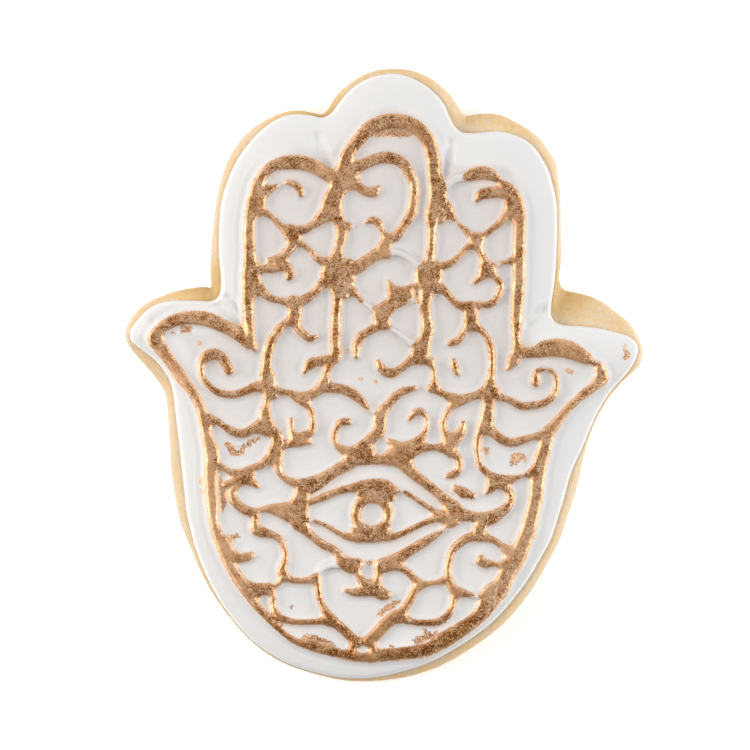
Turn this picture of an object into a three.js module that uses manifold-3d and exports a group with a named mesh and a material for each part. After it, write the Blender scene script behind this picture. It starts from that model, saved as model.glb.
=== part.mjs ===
// Iced butter cookie in the shape of an open hand, lying flat on its back.
// The biscuit is a rolled slab with a rounded edge. The icing is one soft layer on top of it,
// stamped with a raised filigree of scrolls, hearts and an eye, and the ridges are one body with it.
// Millimetres, +Z up, fingers towards +Y, origin at the centre of the underside.

import * as THREE from 'three';
import { mergeVertices } from 'three/addons/utils/BufferGeometryUtils.js';
import Module from 'manifold-3d';

// Driving dimensions, in millimetres.
const BISCUIT_THICKNESS = 6.5;
const BISCUIT_FOOT_INSET = 0.9; // the underside is this much smaller all round
const BISCUIT_WIDEST_HEIGHT = 2.2; // height of the widest line of the edge
const BISCUIT_SHELF = 0.2; // flat biscuit left showing round the icing before the edge rounds down
const ICING_THICKNESS = 2.5;
const ICING_RIM_INSET = 1.8; // width of the icing's rounded rim
const RIDGE_BASE_HEIGHT = 8.4; // ridges start inside the icing, so that they are one body with it
const RIDGE_FLANK = 0.15; // how far a ridge's foot spreads past its painted width, each side
const RIDGE_CREST = 0.55; // width of a ridge's flat crest as a share of its painted width
const RIDGE_LOW = 0.35; // height of a hairline ridge above the icing
const RIDGE_GROWTH = 0.5; // extra height for each millimetre of width
const RIDGE_HIGH = 1; // height of the tallest ridges above the icing
const RIDGE_STEP = 2.4; // spacing of the sections along a ridge

// Points along each stretch of the two outlines, the same for both, so that they loft together.
const STRETCH_POINTS = { index: 18, middle: 15, ring: 18, rightThumb: 9, palm: 58, leftThumb: 10 };

// Edge of the biscuit seen from above, clockwise from the notch left of the index finger. Each
// stretch starts at a notch between two fingers or at the tip of a thumb.
const BISCUIT_EDGE = {
  index: [
    [-28.4, 14.1], [-28.5, 15.5], [-28.3, 20.4], [-27.85, 25.2], [-27.4, 28.5], [-26.7, 31.8],
    [-25.6, 35], [-23.8, 38.3], [-22.15, 39.9], [-20, 41.5], [-17, 42.8], [-15, 43.15], [-12, 42.9],
  ],
  middle: [
    [-10, 42.4], [-9.4, 43], [-8.8, 44], [-8, 45.3], [-7, 46.4], [-5.4, 47.8], [-3, 49.1],
    [-1, 49.8], [1.8, 50], [4, 49.85], [6, 49.2], [8, 48.2], [10, 46.7], [11.7, 44.8], [12.7, 43.2],
  ],
  ring: [
    [13.3, 42.1], [14, 42.3], [15.5, 42.65], [17, 42.7], [19, 42.5], [21.3, 41.5], [24.3, 39.9],
    [25.9, 38.3], [26.9, 36.6], [27.85, 35], [28.5, 31.8], [28.8, 28.5], [28.8, 23.6],
    [28.8, 18.7], [28.8, 15.5],
  ],
  rightThumb: [
    [29.4, 14], [31, 13.5], [32.5, 13.2], [35.5, 12.2], [37.95, 10.6], [39.7, 9], [40.9, 7.3],
    [41.7, 5.7],
  ],
  palm: [
    [42.2, 4.1], [42, 2.4], [40.9, 0.8], [39.25, -0.8], [37.8, -2.4], [36.6, -4.1], [35.7, -5.7],
    [34.7, -7.3], [33.55, -10.6], [32.6, -13.8], [31.8, -17.1], [30.9, -20.4], [29.8, -23.6],
    [28.7, -26.9], [27, -30.1], [25.2, -33.4], [23, -36.6], [20.2, -39.9], [16.3, -43.2],
    [11.4, -46.4], [7.65, -48.1], [3, -49.4], [-1, -49.9], [-4, -50], [-7.8, -49.6],
    [-13.7, -47.9], [-19.9, -44.7], [-23.6, -41.5], [-27.4, -36.6], [-29.5, -33.4],
    [-30.9, -30.1], [-32.1, -26.9], [-33.4, -23.6], [-34, -20.4], [-34.5, -17.1],
    [-34.85, -13.8], [-35, -10.6], [-35.2, -7.3], [-35.5, -4.1], [-36, -2.4], [-37, -0.8],
    [-38.3, 0.8], [-39.7, 2.4], [-41.2, 4.1],
  ],
  leftThumb: [
    [-42.1, 5.7], [-42.2, 7.3], [-41.4, 9], [-40.2, 10.6], [-38.1, 12.2], [-33.9, 13.8], [-30, 14.4],
    [-29.3, 14.4],
  ],
};

// Edge of the icing seen from above, in the same stretches.
const ICING_EDGE = {
  index: [
    [-27, 13], [-26.5, 15.5], [-26.7, 18.7], [-26.9, 22], [-26.7, 25.2], [-26.4, 28.5],
    [-25.4, 31.8], [-23.9, 35], [-21.5, 38.3], [-19.9, 39.9], [-17.4, 41.5], [-16, 42.1],
    [-14, 42.4], [-12, 42.2],
  ],
  middle: [
    [-10.2, 41.8], [-8.9, 42.8], [-8, 44], [-7, 45.2], [-6, 46.3], [-5, 47.3], [-3.5, 48.3],
    [-2, 48.85], [0, 49.05], [2, 49.1], [3.5, 48.8], [5, 48.1], [6.5, 47.2], [8, 46.1], [9, 45.1],
    [9.8, 44], [10.3, 43], [10.9, 41.8], [11.8, 40.3],
  ],
  ring: [
    [12.8, 39.6], [15, 39.5], [17, 39.7], [19, 39.7], [21.5, 39], [23, 38.3], [24.6, 36.6],
    [25.7, 35], [26.5, 33.4], [27, 31.8], [27.85, 28.5], [28, 25.2], [27.85, 20.4], [27.5, 15.5],
    [27.2, 12],
  ],
  rightThumb: [
    [27.1, 10], [27.3, 9.2], [28.2, 8.4], [29.5, 8.1], [32, 8], [35, 7.6], [38, 6.9], [40, 6.2],
    [41, 5.2],
  ],
  palm: [
    [41.2, 4.1], [40.7, 2.4], [39.7, 0.8], [38.3, -0.8], [36.8, -2.4], [35.7, -4.1], [34.7, -5.7],
    [33.2, -9], [31.9, -12.2], [30.5, -15.5], [29, -20.4], [28, -23.6], [26.9, -26.9],
    [25.1, -30.1], [23.1, -33.4], [20.5, -36.6], [17.6, -39.9], [13.1, -43.2], [10, -45.3],
    [7, -47], [4, -48.3], [1, -49.1], [-2, -49.5], [-5, -49.5], [-7.8, -49.2], [-13, -47.8],
    [-16.9, -46.1], [-21.5, -43], [-25.6, -38.3], [-27.5, -35], [-29.15, -31.8],
    [-30.5, -28.5], [-31.4, -25.2], [-32.1, -22], [-32.4, -18.7], [-32.7, -15.5],
    [-33.2, -12.2], [-33.55, -9], [-33.9, -5.7], [-34.4, -2.4], [-34.85, -0.8], [-35.8, 0.8],
    [-37.1, 2.4], [-39.25, 4.1],
  ],
  leftThumb: [
    [-41.2, 5.7], [-41.2, 7.3], [-40.1, 9], [-39, 10.2], [-38, 11], [-36.5, 11.7], [-34, 12.2],
    [-30, 12.2], [-28.6, 12.2], [-27.6, 12.5],
  ],
};

// Round ridges: centre, radius of the crest line, width.
const ROUND_RIDGES = {
  iris: [-1.8, -22.6, 2.75, 1.1],
  brooch: [5.2, 13.5, 1.15, 0.7],
};

// The filigree, one list for each ridge: x, y and width at points along its crest.
const RIDGES = {
  indexFinger: {
    archAndOuterBar: [
      [-21.1, 3.6, 1.1], [-22, 6.5, 1.8], [-22.1, 12, 1.7], [-21.6, 14.5, 2.8], [-21.6, 16.6, 2.8],
      [-21.8, 19.5, 1.5], [-21.8, 25.2, 1.5], [-20.7, 28.2, 2.8], [-20.4, 31.6, 1.6], [-18.1, 34, 1.6],
      [-15, 34.6, 2.2], [-12, 34, 2.4], [-9.4, 32.6, 2.2], [-7.6, 31.6, 2],
    ],
    upperHook: [[-20.4, 29.4, 2], [-19, 30.3, 1.4], [-17.4, 31, 0.4]],
    comma: [[-15.9, 31.2, 0.4], [-14.7, 31, 0.9], [-13.7, 29.3, 0.9]],
    diagonalLeft: [[-20.2, 26.9, 1.2], [-18.2, 25.8, 0.6], [-16.3, 24.2, 0.7], [-14.7, 22.8, 2]],
    diagonalRight: [
      [-15.4, 24, 1], [-13.4, 23.6, 1.2], [-11.5, 24.5, 1.1], [-9.8, 25.9, 2], [-8.6, 28.6, 2.4],
    ],
    lowerRight: [
      [-14.7, 22.4, 1.6], [-13.6, 21.4, 0.8], [-12, 20.3, 0.6], [-11.1, 19, 0.6], [-9.6, 18, 1],
    ],
    lowerLeft: [
      [-14.7, 22.4, 1.8], [-15.4, 20.9, 1.2], [-16.4, 19.4, 1.2], [-17.4, 18.9, 1.2],
      [-18.8, 18.7, 0.5],
    ],
    heartHook: [[-17, 18.9, 1.2], [-16.1, 17.9, 1.2], [-15.6, 16.9, 1.4], [-15.3, 15.8, 0.9]],
    heartTop: [[-21, 16.6, 1.2], [-19.6, 17.2, 0.6], [-18, 17.5, 0.7], [-16.6, 17.8, 1]],
    heartBottom: [
      [-20.8, 14.4, 1.4], [-19, 12.9, 0.9], [-16.9, 12.2, 0.7], [-15, 11.9, 1.3], [-13, 12.4, 1.3],
      [-11.2, 13.7, 0.9], [-10.2, 15.2, 1], [-8.6, 15.8, 1.6],
    ],
  },
  barBetweenIndexAndMiddle: {
    bar: [
      [-6.3, 32.4, 4], [-7.5, 30.2, 2.7], [-8.3, 28.3, 2.9], [-7.8, 26.2, 2], [-7.2, 24.4, 1.5],
      [-7, 22.6, 1.8], [-7.6, 20.2, 1.4], [-7.7, 18, 2.8], [-7.9, 16.2, 4], [-7.6, 14, 2.1],
      [-7.6, 12, 1.3], [-7.8, 9.5, 1.4], [-7.9, 7.2, 1.6], [-7.7, 5.2, 1.1], [-7.9, 3, 1.4],
      [-8.8, 1.8, 1.2], [-9.4, 0.2, 0.9], [-9.7, -1.2, 1.8],
    ],
    nub: [[-6.9, 23.6, 1.2], [-5.7, 24.2, 1]],
    spur: [[-6.9, 14.2, 1.4], [-5.2, 13.8, 1.3], [-4.4, 12.9, 0.7], [-3.6, 12, 0.4]],
    footHook: [
      [-7.9, 2.8, 0.8], [-9.2, 2.7, 0.8], [-10.6, 2.4, 1.2], [-11.9, 1.9, 1.4], [-13.1, 0.6, 0.4],
    ],
  },
  middleFinger: {
    archAndInnerBar: [
      [-6.4, 33.4, 2.6], [-5.8, 36, 1.8], [-4.1, 38.3, 1.9], [-2.2, 40.2, 2.3], [0.4, 41.2, 2.3],
      [3.3, 41.1, 2.3], [5.6, 40, 2.3], [7.3, 37.9, 2.1], [8, 35.5, 2], [8.2, 33, 2], [8.7, 30.5, 2.7],
      [8.9, 28.2, 2.8], [8, 26, 2], [7.7, 24, 1.1], [7.5, 20.5, 1], [7.3, 18.2, 2.2], [7.1, 16.4, 4.2],
      [7.1, 14.2, 2.2], [6.6, 12, 1.5], [6.7, 10, 1.1], [7.1, 7.6, 1.8], [6.5, 5.7, 2.1],
      [5.9, 4.1, 3.2], [5.9, 2.7, 2.8],
    ],
    spur: [[9.3, 28.6, 1.6], [10.5, 27, 1.3], [11.3, 25.4, 0.7]],
    greatHook: [
      [-6, 32.6, 2.4], [-4.3, 34.1, 1.9], [-2.1, 34.8, 1.8], [0.2, 35.5, 1.7], [2.6, 34.8, 1.6],
      [4, 33.1, 1.5], [4.9, 31, 1.3], [4.8, 28.4, 1.3], [4.4, 26.1, 1.5], [3.2, 24.3, 1.1],
      [1.9, 22.7, 1.3], [0.5, 22, 1.3], [-0.1, 20.7, 2],
    ],
    smallHook: [
      [-5.2, 31.6, 2.2], [-4, 30.6, 1.3], [-2.7, 29.9, 1.3], [-1.6, 29.9, 1.5], [-1, 30.6, 0.8],
    ],
    branch: [[0.4, 22.4, 1], [-0.3, 23.4, 0.6], [-1, 24.7, 1.1], [-2, 25.2, 1], [-3.1, 24.8, 0.4]],
    return: [
      [0.7, 19.7, 0.9], [-0.9, 19.9, 1.7], [-2.4, 18.8, 1.7], [-4.3, 17.7, 1.6], [-6.6, 16.8, 1.2],
    ],
    brooch: [[0.8, 15.1, 0.4], [1.2, 14.1, 1.3], [2.2, 13.4, 1.9], [3.8, 13.1, 2.2], [4.6, 13.5, 0.9]],
    broochFoot: [[1.4, 13.2, 1.2], [1.1, 11.5, 2], [-0.2, 10, 2.8], [-0.2, 8.6, 2.4]],
    broochLeaf: [[0.4, 11.4, 1.2], [-0.6, 11.1, 0.8], [-1.6, 10.9, 0.4]],
    lowerHook: [
      [0.9, 7.8, 0.6], [-0.6, 8, 1.1], [-2.1, 7.3, 1.1], [-3.4, 6.4, 1.2], [-4.3, 5, 1.1],
      [-4.5, 3, 0.8],
    ],
    innerScroll: [
      [5.4, 2.6, 1.4], [4, 1.8, 1], [2.7, 0.8, 0.8], [1.3, 0.2, 1], [0.1, 0.4, 1], [-0.7, 1.3, 0.7],
      [-1, 2.1, 0.5],
    ],
    outerLink: [[6, 2.6, 1.4], [7.6, 2, 1.3], [8.1, 0.6, 0.6], [8.1, -0.6, 0.6], [8.2, -1.9, 1.7]],
  },
  ringFinger: {
    outerBar: [
      [18.7, 31.4, 0.6], [20, 30.8, 1.5], [20.8, 29, 2.5], [21.4, 27.2, 2.5], [22, 25.2, 1.5],
      [21.8, 22.5, 1.3], [21.9, 20, 1.5], [21.9, 16.5, 1.2], [21.6, 12.5, 1.3], [21.5, 9, 1.1],
      [21.5, 5.6, 1], [21.6, 4, 1.5], [21.1, 2, 1.4], [20.1, 0.8, 0.4],
    ],
    hook: [[20.4, 30, 1.6], [18.6, 30.1, 1.3], [16.8, 29.7, 1.5], [15.6, 29.4, 1.1], [15, 28.4, 0.5]],
    diagonalLeft: [[12.1, 24.7, 0.7], [13.3, 23.5, 0.8], [14.3, 22.6, 1.2], [15, 21.7, 1.9]],
    diagonalRight: [
      [14.9, 22.4, 1.4], [16.3, 22.8, 0.8], [17.6, 23.8, 0.8], [19, 24.9, 1], [20.3, 26.6, 1.6],
    ],
    lowerLeft: [
      [14.9, 21.2, 1.4], [13.6, 20.7, 0.8], [12.5, 19.7, 0.7], [11, 18.7, 0.7], [9.6, 18, 0.8],
      [8.2, 17.6, 1.6],
    ],
    lowerRight: [[15.1, 21.4, 1.6], [15.8, 19.8, 0.9], [16.4, 18.5, 1], [16.6, 17.2, 2.4]],
    link: [[19.9, 18.3, 0.5], [21.2, 18.6, 1], [22, 19.2, 1.2]],
    heartHook: [[16.9, 17.4, 2.2], [16, 16.2, 1.3], [14.8, 15.1, 0.5]],
    heart: [
      [17.2, 17.2, 1.8], [18.1, 15.9, 0.9], [18.9, 14.6, 0.8], [18.5, 13, 0.9], [17.4, 11.8, 1],
      [15.8, 11.6, 0.9], [14.2, 11.4, 1.6], [12.4, 11.5, 1.2], [10.8, 12.5, 0.9], [9.7, 13.9, 0.9],
      [8, 14.8, 1.8],
    ],
    heartFoot: [[14.1, 11.4, 2], [14.1, 10, 2], [14.3, 8.4, 2.3]],
    footHook: [[13.8, 8.2, 1.3], [12.9, 6.9, 0.8], [12, 5.8, 0.9], [11, 5.2, 0.9], [10.4, 5.1, 0.5]],
  },
  leftThumb: {
    border: [
      [-22.2, 6.4, 1.8], [-24.4, 7.1, 1.8], [-26.4, 8.1, 1.9], [-28.3, 8.9, 2.2], [-30.4, 9.2, 2.1],
      [-32.8, 9.1, 1.9], [-34.8, 8.4, 1.7], [-36.5, 7.3, 1.7], [-37.2, 6.2, 2.2], [-36.3, 4.5, 2],
      [-34.8, 2.3, 1.6], [-33, -0.1, 1.5], [-31.4, -2.5, 1.4], [-30, -4.9, 1.4], [-29.2, -7.5, 1.6],
      [-28.8, -10, 1.6],
    ],
    scroll: [
      [-18.9, -2.2, 1.7], [-20.4, -2.1, 1.3], [-22, -2.4, 1.2], [-23.6, -3, 1.1], [-25.2, -3.2, 1],
      [-27, -2.7, 0.9], [-28.6, -1.6, 0.7], [-29.7, 0.2, 0.6], [-29.6, 2, 0.7], [-28.6, 3.3, 1.1],
      [-27.2, 3.5, 1.3], [-26.1, 2.5, 1.3], [-25.4, 0.7, 1.1],
    ],
    garland: [
      [-28.6, -7, 1.2], [-27.2, -7.5, 0.7], [-25.8, -8.5, 0.9], [-24.4, -9.3, 1.2], [-22.8, -9.5, 1.2],
      [-21.2, -8.9, 1.2], [-19.8, -8, 1.3], [-19, -7.2, 1.2],
    ],
  },
  rightThumb: {
    border: [
      [24.5, 3.7, 1.4], [26, 4.2, 2.5], [28, 4.4, 2.9], [30, 4, 2.7], [32, 3.2, 2.3], [33.8, 2.2, 1.8],
      [35.2, 0.8, 1.9], [35.5, -0.7, 2.1], [34, -2, 1.3], [32.2, -3.3, 1.2], [30, -5.2, 1.3],
      [28.2, -7.4, 1.5], [26.6, -9.6, 2.2],
    ],
    scroll: [
      [17.4, -2.6, 2.4], [18.7, -3.5, 1], [20.4, -4.1, 0.9], [22.2, -5, 1.1], [24, -5, 1.1],
      [25.9, -4.6, 1], [27.5, -3.4, 1], [28.1, -1.6, 0.7], [27.9, -0.2, 0.6], [27, 0.7, 0.5],
      [26.4, 0.9, 0.5],
    ],
    scrollEnd: [[26, 0.9, 0.6], [25.2, 0.9, 0.7], [24.7, 0, 0.8], [24.7, -1.6, 1.1]],
    garland: [
      [16.7, -8.4, 1.6], [17.9, -9.5, 1.4], [19.4, -10.5, 1.1], [20.9, -11, 1.2], [22.6, -10.6, 1.1],
      [24.2, -10.1, 0.8], [26, -9.8, 1.4],
    ],
  },
  palmTop: {
    leftJunction: [[-15, 12.2, 2.4], [-14.5, 10.6, 1.9], [-14.6, 9, 2.3]],
    leftRing: [
      [-14.7, 8.9, 1], [-16.2, 8.3, 0.9], [-17.5, 7.1, 1.3], [-18.5, 5.2, 1.2], [-19.1, 3.2, 1.2],
      [-19.2, 1.2, 1.4], [-19.1, -1, 1.9], [-18.9, -2.6, 1.5],
    ],
    leftHook: [[-14.3, 9.2, 1], [-14.1, 7.7, 1.1], [-12.9, 6.7, 1], [-12.1, 5.9, 0.9], [-11, 6.3, 0.4]],
    leftCup: [
      [-19, -1.8, 1.8], [-17.2, -2.6, 0.9], [-15.5, -2.9, 0.7], [-13.5, -3.7, 1.8], [-11.6, -3.1, 1.3],
      [-10, -2.1, 1.6], [-8.3, -2.2, 1.2], [-6.5, -2.6, 1.2], [-4.8, -3.5, 1.1], [-3.4, -4.6, 1.1],
      [-2.7, -5.4, 0.8],
    ],
    leftRingFlank: [[-9.3, -0.5, 0.9], [-10.1, -1.4, 1.3], [-10.8, -2.3, 1]],
    rightRing: [
      [14.5, 8.1, 1.6], [15.9, 7.2, 0.9], [16.9, 5.8, 0.9], [17.5, 4, 1], [17.6, 2, 0.9],
      [17.5, 0, 0.9], [17.3, -1.6, 1.8], [17.1, -3.1, 2.6],
    ],
    rightCup: [
      [7.7, -2.2, 1.2], [9.3, -2.9, 0.8], [11.1, -3.7, 1.3], [12.9, -3.9, 1.3], [14.9, -3.3, 1],
      [16.4, -2.6, 1.4],
    ],
    rightDash: [[11.3, 2.5, 0.4], [11.6, 1.6, 0.8], [11.9, 0.4, 0.6]],
  },
  palmSides: {
    leftSpine: [
      [-19, -2.6, 1.4], [-19.1, -4.4, 0.7], [-19.3, -6.6, 1.8], [-18.8, -8.2, 1.3], [-18, -9.8, 0.9],
      [-17.8, -11.4, 1], [-18.1, -12.8, 1.7], [-17.4, -14.3, 1.4], [-17, -15.8, 0.9],
      [-15.9, -17, 0.9], [-14.4, -17.6, 1.2],
    ],
    leftLowerGarland: [
      [-28.2, -13.6, 1.6], [-26.8, -14.6, 0.8], [-25.3, -15.6, 0.7], [-23.5, -15.8, 0.9],
      [-21.8, -15.2, 0.8], [-20.1, -14.7, 1.1], [-18.5, -13.4, 1.4],
    ],
    leftLeafStem: [[-23.2, -15.9, 1.2], [-22.5, -16.9, 1.7], [-21.6, -17.6, 1], [-20.6, -18.1, 0.5]],
    leftLeaf: [
      [-22.7, -17.2, 1], [-24, -18.1, 0.9], [-24.7, -19.3, 1.2], [-24.1, -20.8, 1.4],
      [-22.5, -22, 1.4], [-21, -22.6, 1.3], [-20.8, -24, 1], [-20, -25.2, 1.2], [-18.3, -26, 1],
      [-16.9, -26.8, 0.9], [-16.2, -28.2, 0.7], [-16, -30, 0.7], [-16.1, -31.9, 1],
      [-15.4, -33.3, 0.9], [-13.8, -33.5, 0.7], [-12.2, -33.4, 0.9], [-11.1, -33, 1.4],
    ],
    leftWing: [
      [-20.9, -22.3, 1], [-19.8, -21.9, 0.6], [-18.4, -21.8, 1.3], [-16.8, -22, 2.2],
      [-14.9, -22.4, 3.2],
    ],
    leftTail: [[-16.1, -32.6, 1.2], [-16.8, -33.5, 0.7], [-17.3, -34.2, 0.4]],
    leftSmallHook: [
      [-26.2, -27.8, 1.8], [-25.4, -29.2, 1.5], [-23.9, -29.7, 1.2], [-22.4, -29.5, 1.3],
      [-21.6, -29.3, 1],
    ],
    leftFoot: [
      [-23, -33.4, 2], [-22.1, -34.7, 2.2], [-20.3, -34.9, 1.4], [-18.7, -34.7, 1.4],
      [-18.1, -35.8, 0.8], [-18, -37.2, 0.7], [-17.4, -38.8, 0.8], [-16, -39.9, 0.9],
      [-14.2, -40.3, 0.8], [-12, -40.3, 0.8], [-10, -40.2, 0.8], [-8.1, -40.3, 1.5],
    ],
    leftScroll: [
      [-13.5, -4.2, 1.7], [-12.4, -5.2, 0.8], [-11.7, -6.6, 0.8], [-11.5, -8, 0.8], [-12.1, -9.2, 0.9],
      [-13.3, -9.8, 0.9], [-14.6, -10.4, 1.2],
    ],
    leftScrollHook: [[-14.6, -10.4, 1.2], [-15.1, -9, 0.8], [-15.2, -7.2, 0.5]],
    leftScrollBase: [[-15.3, -11, 0.9], [-14, -10.7, 2], [-12.8, -10.9, 0.9], [-12, -11, 0.5]],
    rightSpine: [
      [17.1, -3.4, 2], [17.1, -5, 1], [16.7, -6.8, 1.5], [16.3, -8.4, 2], [15.5, -9.7, 1],
      [15.2, -11.4, 1], [15.3, -13.2, 0.7], [15.8, -15, 0.8], [17.1, -16.3, 1], [17.6, -17.4, 1.6],
      [17.4, -18.5, 1.4], [16.4, -19.5, 0.4],
    ],
    rightLowerGarland: [[17.3, -16.5, 1.2], [18.9, -17, 1.5], [20.6, -17, 1.2], [22.2, -16.5, 0.4]],
    rightNub: [[25, -15.2, 1.8], [24, -15.9, 1.2], [23.1, -16.3, 0.5]],
    rightLeaf: [
      [17.7, -17.6, 1.6], [19, -17.9, 1.3], [20.2, -18.7, 1.1], [20.6, -20, 1], [20.2, -21.3, 1.2],
      [18.8, -22.3, 1.5], [17.4, -23.1, 2], [16, -23.8, 1.5], [15.4, -25.2, 1.7], [15, -26.2, 1.6],
    ],
    rightDash: [[11.5, -18.2, 0.7], [13.1, -18.9, 1.3], [14.8, -19.7, 0.8]],
    rightRing: [
      [20.6, -29.2, 1.6], [19.2, -28, 0.9], [17.6, -27, 0.8], [15.9, -26.4, 1.3], [14.1, -26.4, 1.3],
      [12.4, -27.3, 1.2], [11.2, -28.8, 1.1], [10.6, -30.5, 0.9], [10.4, -32.2, 1], [10.7, -33.6, 1.2],
      [11.5, -35, 1.5], [12.9, -35.6, 0.9], [14.2, -35.9, 0.5],
    ],
    rightSmallHook: [[15.8, -29.3, 0.5], [15.7, -30.2, 1.3], [16.3, -30.7, 1.1], [17.2, -30.8, 0.5]],
    rightSmallHookRoot: [[18, -30.8, 0.5], [19.5, -30.6, 1.4]],
    rightFoot: [
      [12.6, -35.5, 0.9], [11.6, -36.4, 1], [11.3, -37.6, 0.9], [10.7, -38.9, 0.9], [9.5, -39.9, 0.9],
      [8, -40.5, 1], [6.2, -40.5, 0.9], [4.3, -40.3, 0.9], [2.4, -39.3, 2.3], [0.6, -40.3, 1.9],
      [-1.2, -41.8, 1.8], [-2.8, -43, 1.5],
    ],
  },
  borderBelow: {
    left: [
      [-28.8, -10, 1.6], [-28.1, -13, 2.3], [-28.2, -17, 1.8], [-27.9, -21, 1.8], [-27.5, -24.5, 1.5],
      [-26.1, -27.7, 2.3], [-25.3, -30.8, 1.3], [-23.2, -33.6, 2.2], [-21.5, -36.4, 1.5],
      [-19.4, -38.9, 1.2], [-17.2, -41, 1.2], [-14.7, -42.9, 1.2], [-11.6, -44.3, 1.5],
      [-8.1, -45, 1.6], [-5.4, -45.8, 1.3], [-2.2, -46.1, 1.4],
    ],
    right: [
      [26.6, -9.6, 2.2], [26.2, -11.8, 1.8], [25.4, -14.6, 2.1], [25.1, -17.2, 1.9],
      [24.8, -20.2, 1.7], [24.3, -22.4, 2], [23.6, -25, 2.3], [22.6, -27.6, 2.4], [21.5, -30.2, 2.6],
      [20.1, -32.4, 2.6], [18.9, -35, 2.8], [17.3, -37.2, 2.4], [15.2, -39.6, 2.2], [12.6, -41.4, 2.5],
      [9.8, -43, 2.6], [7, -44.8, 1.9], [3.4, -45.6, 1.9], [0, -45.9, 1.7], [-2.2, -46.1, 1.5],
    ],
  },
  aboveTheEye: {
    leftCurl: [
      [-5.7, -7.7, 1.2], [-6.9, -7.7, 1], [-7.8, -8.7, 0.8], [-8.1, -10, 0.7], [-7.7, -11.5, 0.7],
      [-6.2, -12.3, 1.2], [-4.6, -13, 2.4],
    ],
    leftStem: [
      [-5, -13.3, 2.6], [-3.9, -12.3, 2.4], [-2.9, -11, 1.4], [-1.9, -9.8, 1.2], [-0.9, -8.7, 1.5],
      [-0.8, -7.1, 1.9], [-0.3, -6, 1.8], [0.6, -4.8, 1.1], [1.8, -3.5, 1.1], [3.3, -2.6, 1],
      [5.1, -2.1, 0.5],
    ],
    middle: [
      [-4, -13.6, 2], [-1.9, -13.7, 1.2], [0, -13.5, 1], [1.6, -13.1, 2.6], [3.2, -12.7, 3.4],
      [4.6, -11.8, 2.4], [5.8, -10.5, 1.5], [6.7, -9.2, 0.8], [7, -7.8, 0.7], [6.7, -6.6, 0.7],
      [5.9, -5.9, 1], [5, -6.2, 1], [4.2, -7.1, 0.5],
    ],
    rightArm: [
      [4.6, -12.2, 2], [6.4, -11.9, 1.2], [8.1, -11.8, 0.8], [9.6, -12, 1.2], [10.8, -12.6, 1.5],
      [11.9, -13.3, 1.2], [12.3, -14.4, 1], [12, -15.5, 1.1], [11.2, -16.2, 1], [10.2, -16.4, 0.7],
    ],
    rightStem: [
      [10.5, -12, 1.8], [10.5, -10.6, 1.7], [9.9, -9.3, 0.9], [9.6, -8, 0.8], [10.1, -6.6, 0.8],
      [10.9, -5.3, 0.9], [12.4, -4.5, 1], [14.2, -3.7, 0.9],
    ],
    rightCurl: [[10.7, -10.7, 1.6], [11.9, -9.8, 1.4], [12.7, -8.8, 1.1], [12.9, -7.8, 0.6]],
    leftBrow: [
      [-13.8, -18, 2.4], [-11.8, -17.7, 2.2], [-10, -16.8, 1.8], [-8, -15.6, 1.4], [-6.4, -14.6, 1.6],
      [-4.8, -13.6, 2.4],
    ],
    rightBrow: [
      [2, -13.4, 2.6], [3.6, -14.4, 2.2], [5, -15.8, 1.4], [6.8, -17.5, 1.2], [8.4, -19.1, 1.2],
      [10, -20.7, 1.3], [11.4, -22.1, 2.4], [13, -22.9, 1.7], [14.6, -23, 1.2], [16.2, -23.2, 1.6],
    ],
  },
  eye: {
    leftCorner: [
      [-13.6, -17.8, 2], [-13.7, -20, 2.1], [-14.2, -22.2, 3.4], [-13.9, -23.9, 2.4],
      [-13.3, -25.3, 1], [-11.6, -26.6, 0.9], [-10, -27.9, 1], [-8.2, -28.8, 1], [-6.9, -30.3, 1.9],
      [-5.4, -30.8, 2.2], [-4.3, -30.8, 1.8],
    ],
    upperLid: [
      [-12, -20.8, 0.6], [-10.2, -20.1, 0.9], [-8.4, -19.3, 1], [-6.6, -18.7, 1], [-4.9, -18.3, 1.2],
      [-3, -17.9, 1.6], [-1.4, -17.7, 1.5], [0.2, -17.9, 1.6], [1.6, -18.8, 1.4],
    ],
    upperLidRight: [
      [3.4, -19, 0.4], [5.2, -20.2, 0.6], [7, -21.4, 0.6], [8.8, -22.6, 0.8], [10.4, -23.3, 1.4],
    ],
    lowerLidLeft: [
      [-11.2, -23.8, 0.4], [-9.2, -24.6, 0.5], [-7.4, -25.7, 0.6], [-5.6, -26.5, 0.8], [-4, -26.6, 1.4],
    ],
    lowerLid: [
      [-4.6, -26.6, 1.2], [-2.6, -26.8, 1.2], [-0.4, -26.8, 1.2], [1.4, -26.6, 0.9], [3.2, -25.9, 0.7],
      [5, -25, 0.8], [6.8, -24.2, 0.8], [8.8, -23.5, 0.8], [10.8, -23.6, 2.2],
    ],
    underLineRight: [
      [9.3, -25.5, 0.4], [7.8, -26.3, 0.7], [6, -27.5, 1], [4.2, -28.7, 1.1], [2.8, -29.8, 1.4],
      [1.2, -30.6, 1.9], [-0.4, -30.9, 1],
    ],
  },
  heartBelow: {
    leftEdge: [
      [-11, -33, 1], [-10.8, -34.8, 0.8], [-10.4, -36.6, 0.8], [-9.6, -38.4, 1.1], [-8.5, -39.8, 1.5],
      [-7, -41.1, 1.4], [-5.7, -42.3, 1.4], [-4.6, -43.5, 1.4],
    ],
    petal: [
      [-4.4, -31.2, 1.2], [-4.1, -32.8, 0.7], [-3.1, -33.9, 1.4], [-1.6, -34.9, 1.9],
      [-0.2, -35.7, 1.8], [0.6, -35.7, 1.2],
    ],
    rightLobe: [
      [-0.6, -31.8, 1], [0.6, -31.4, 1.2], [2, -31.2, 1.1], [3.5, -31.8, 0.9], [4.9, -33.1, 1],
      [5.9, -34.2, 1.3], [5.2, -35.1, 1], [4.6, -36.4, 0.9], [3.8, -37.8, 1], [2.8, -39, 1.4],
    ],
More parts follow.
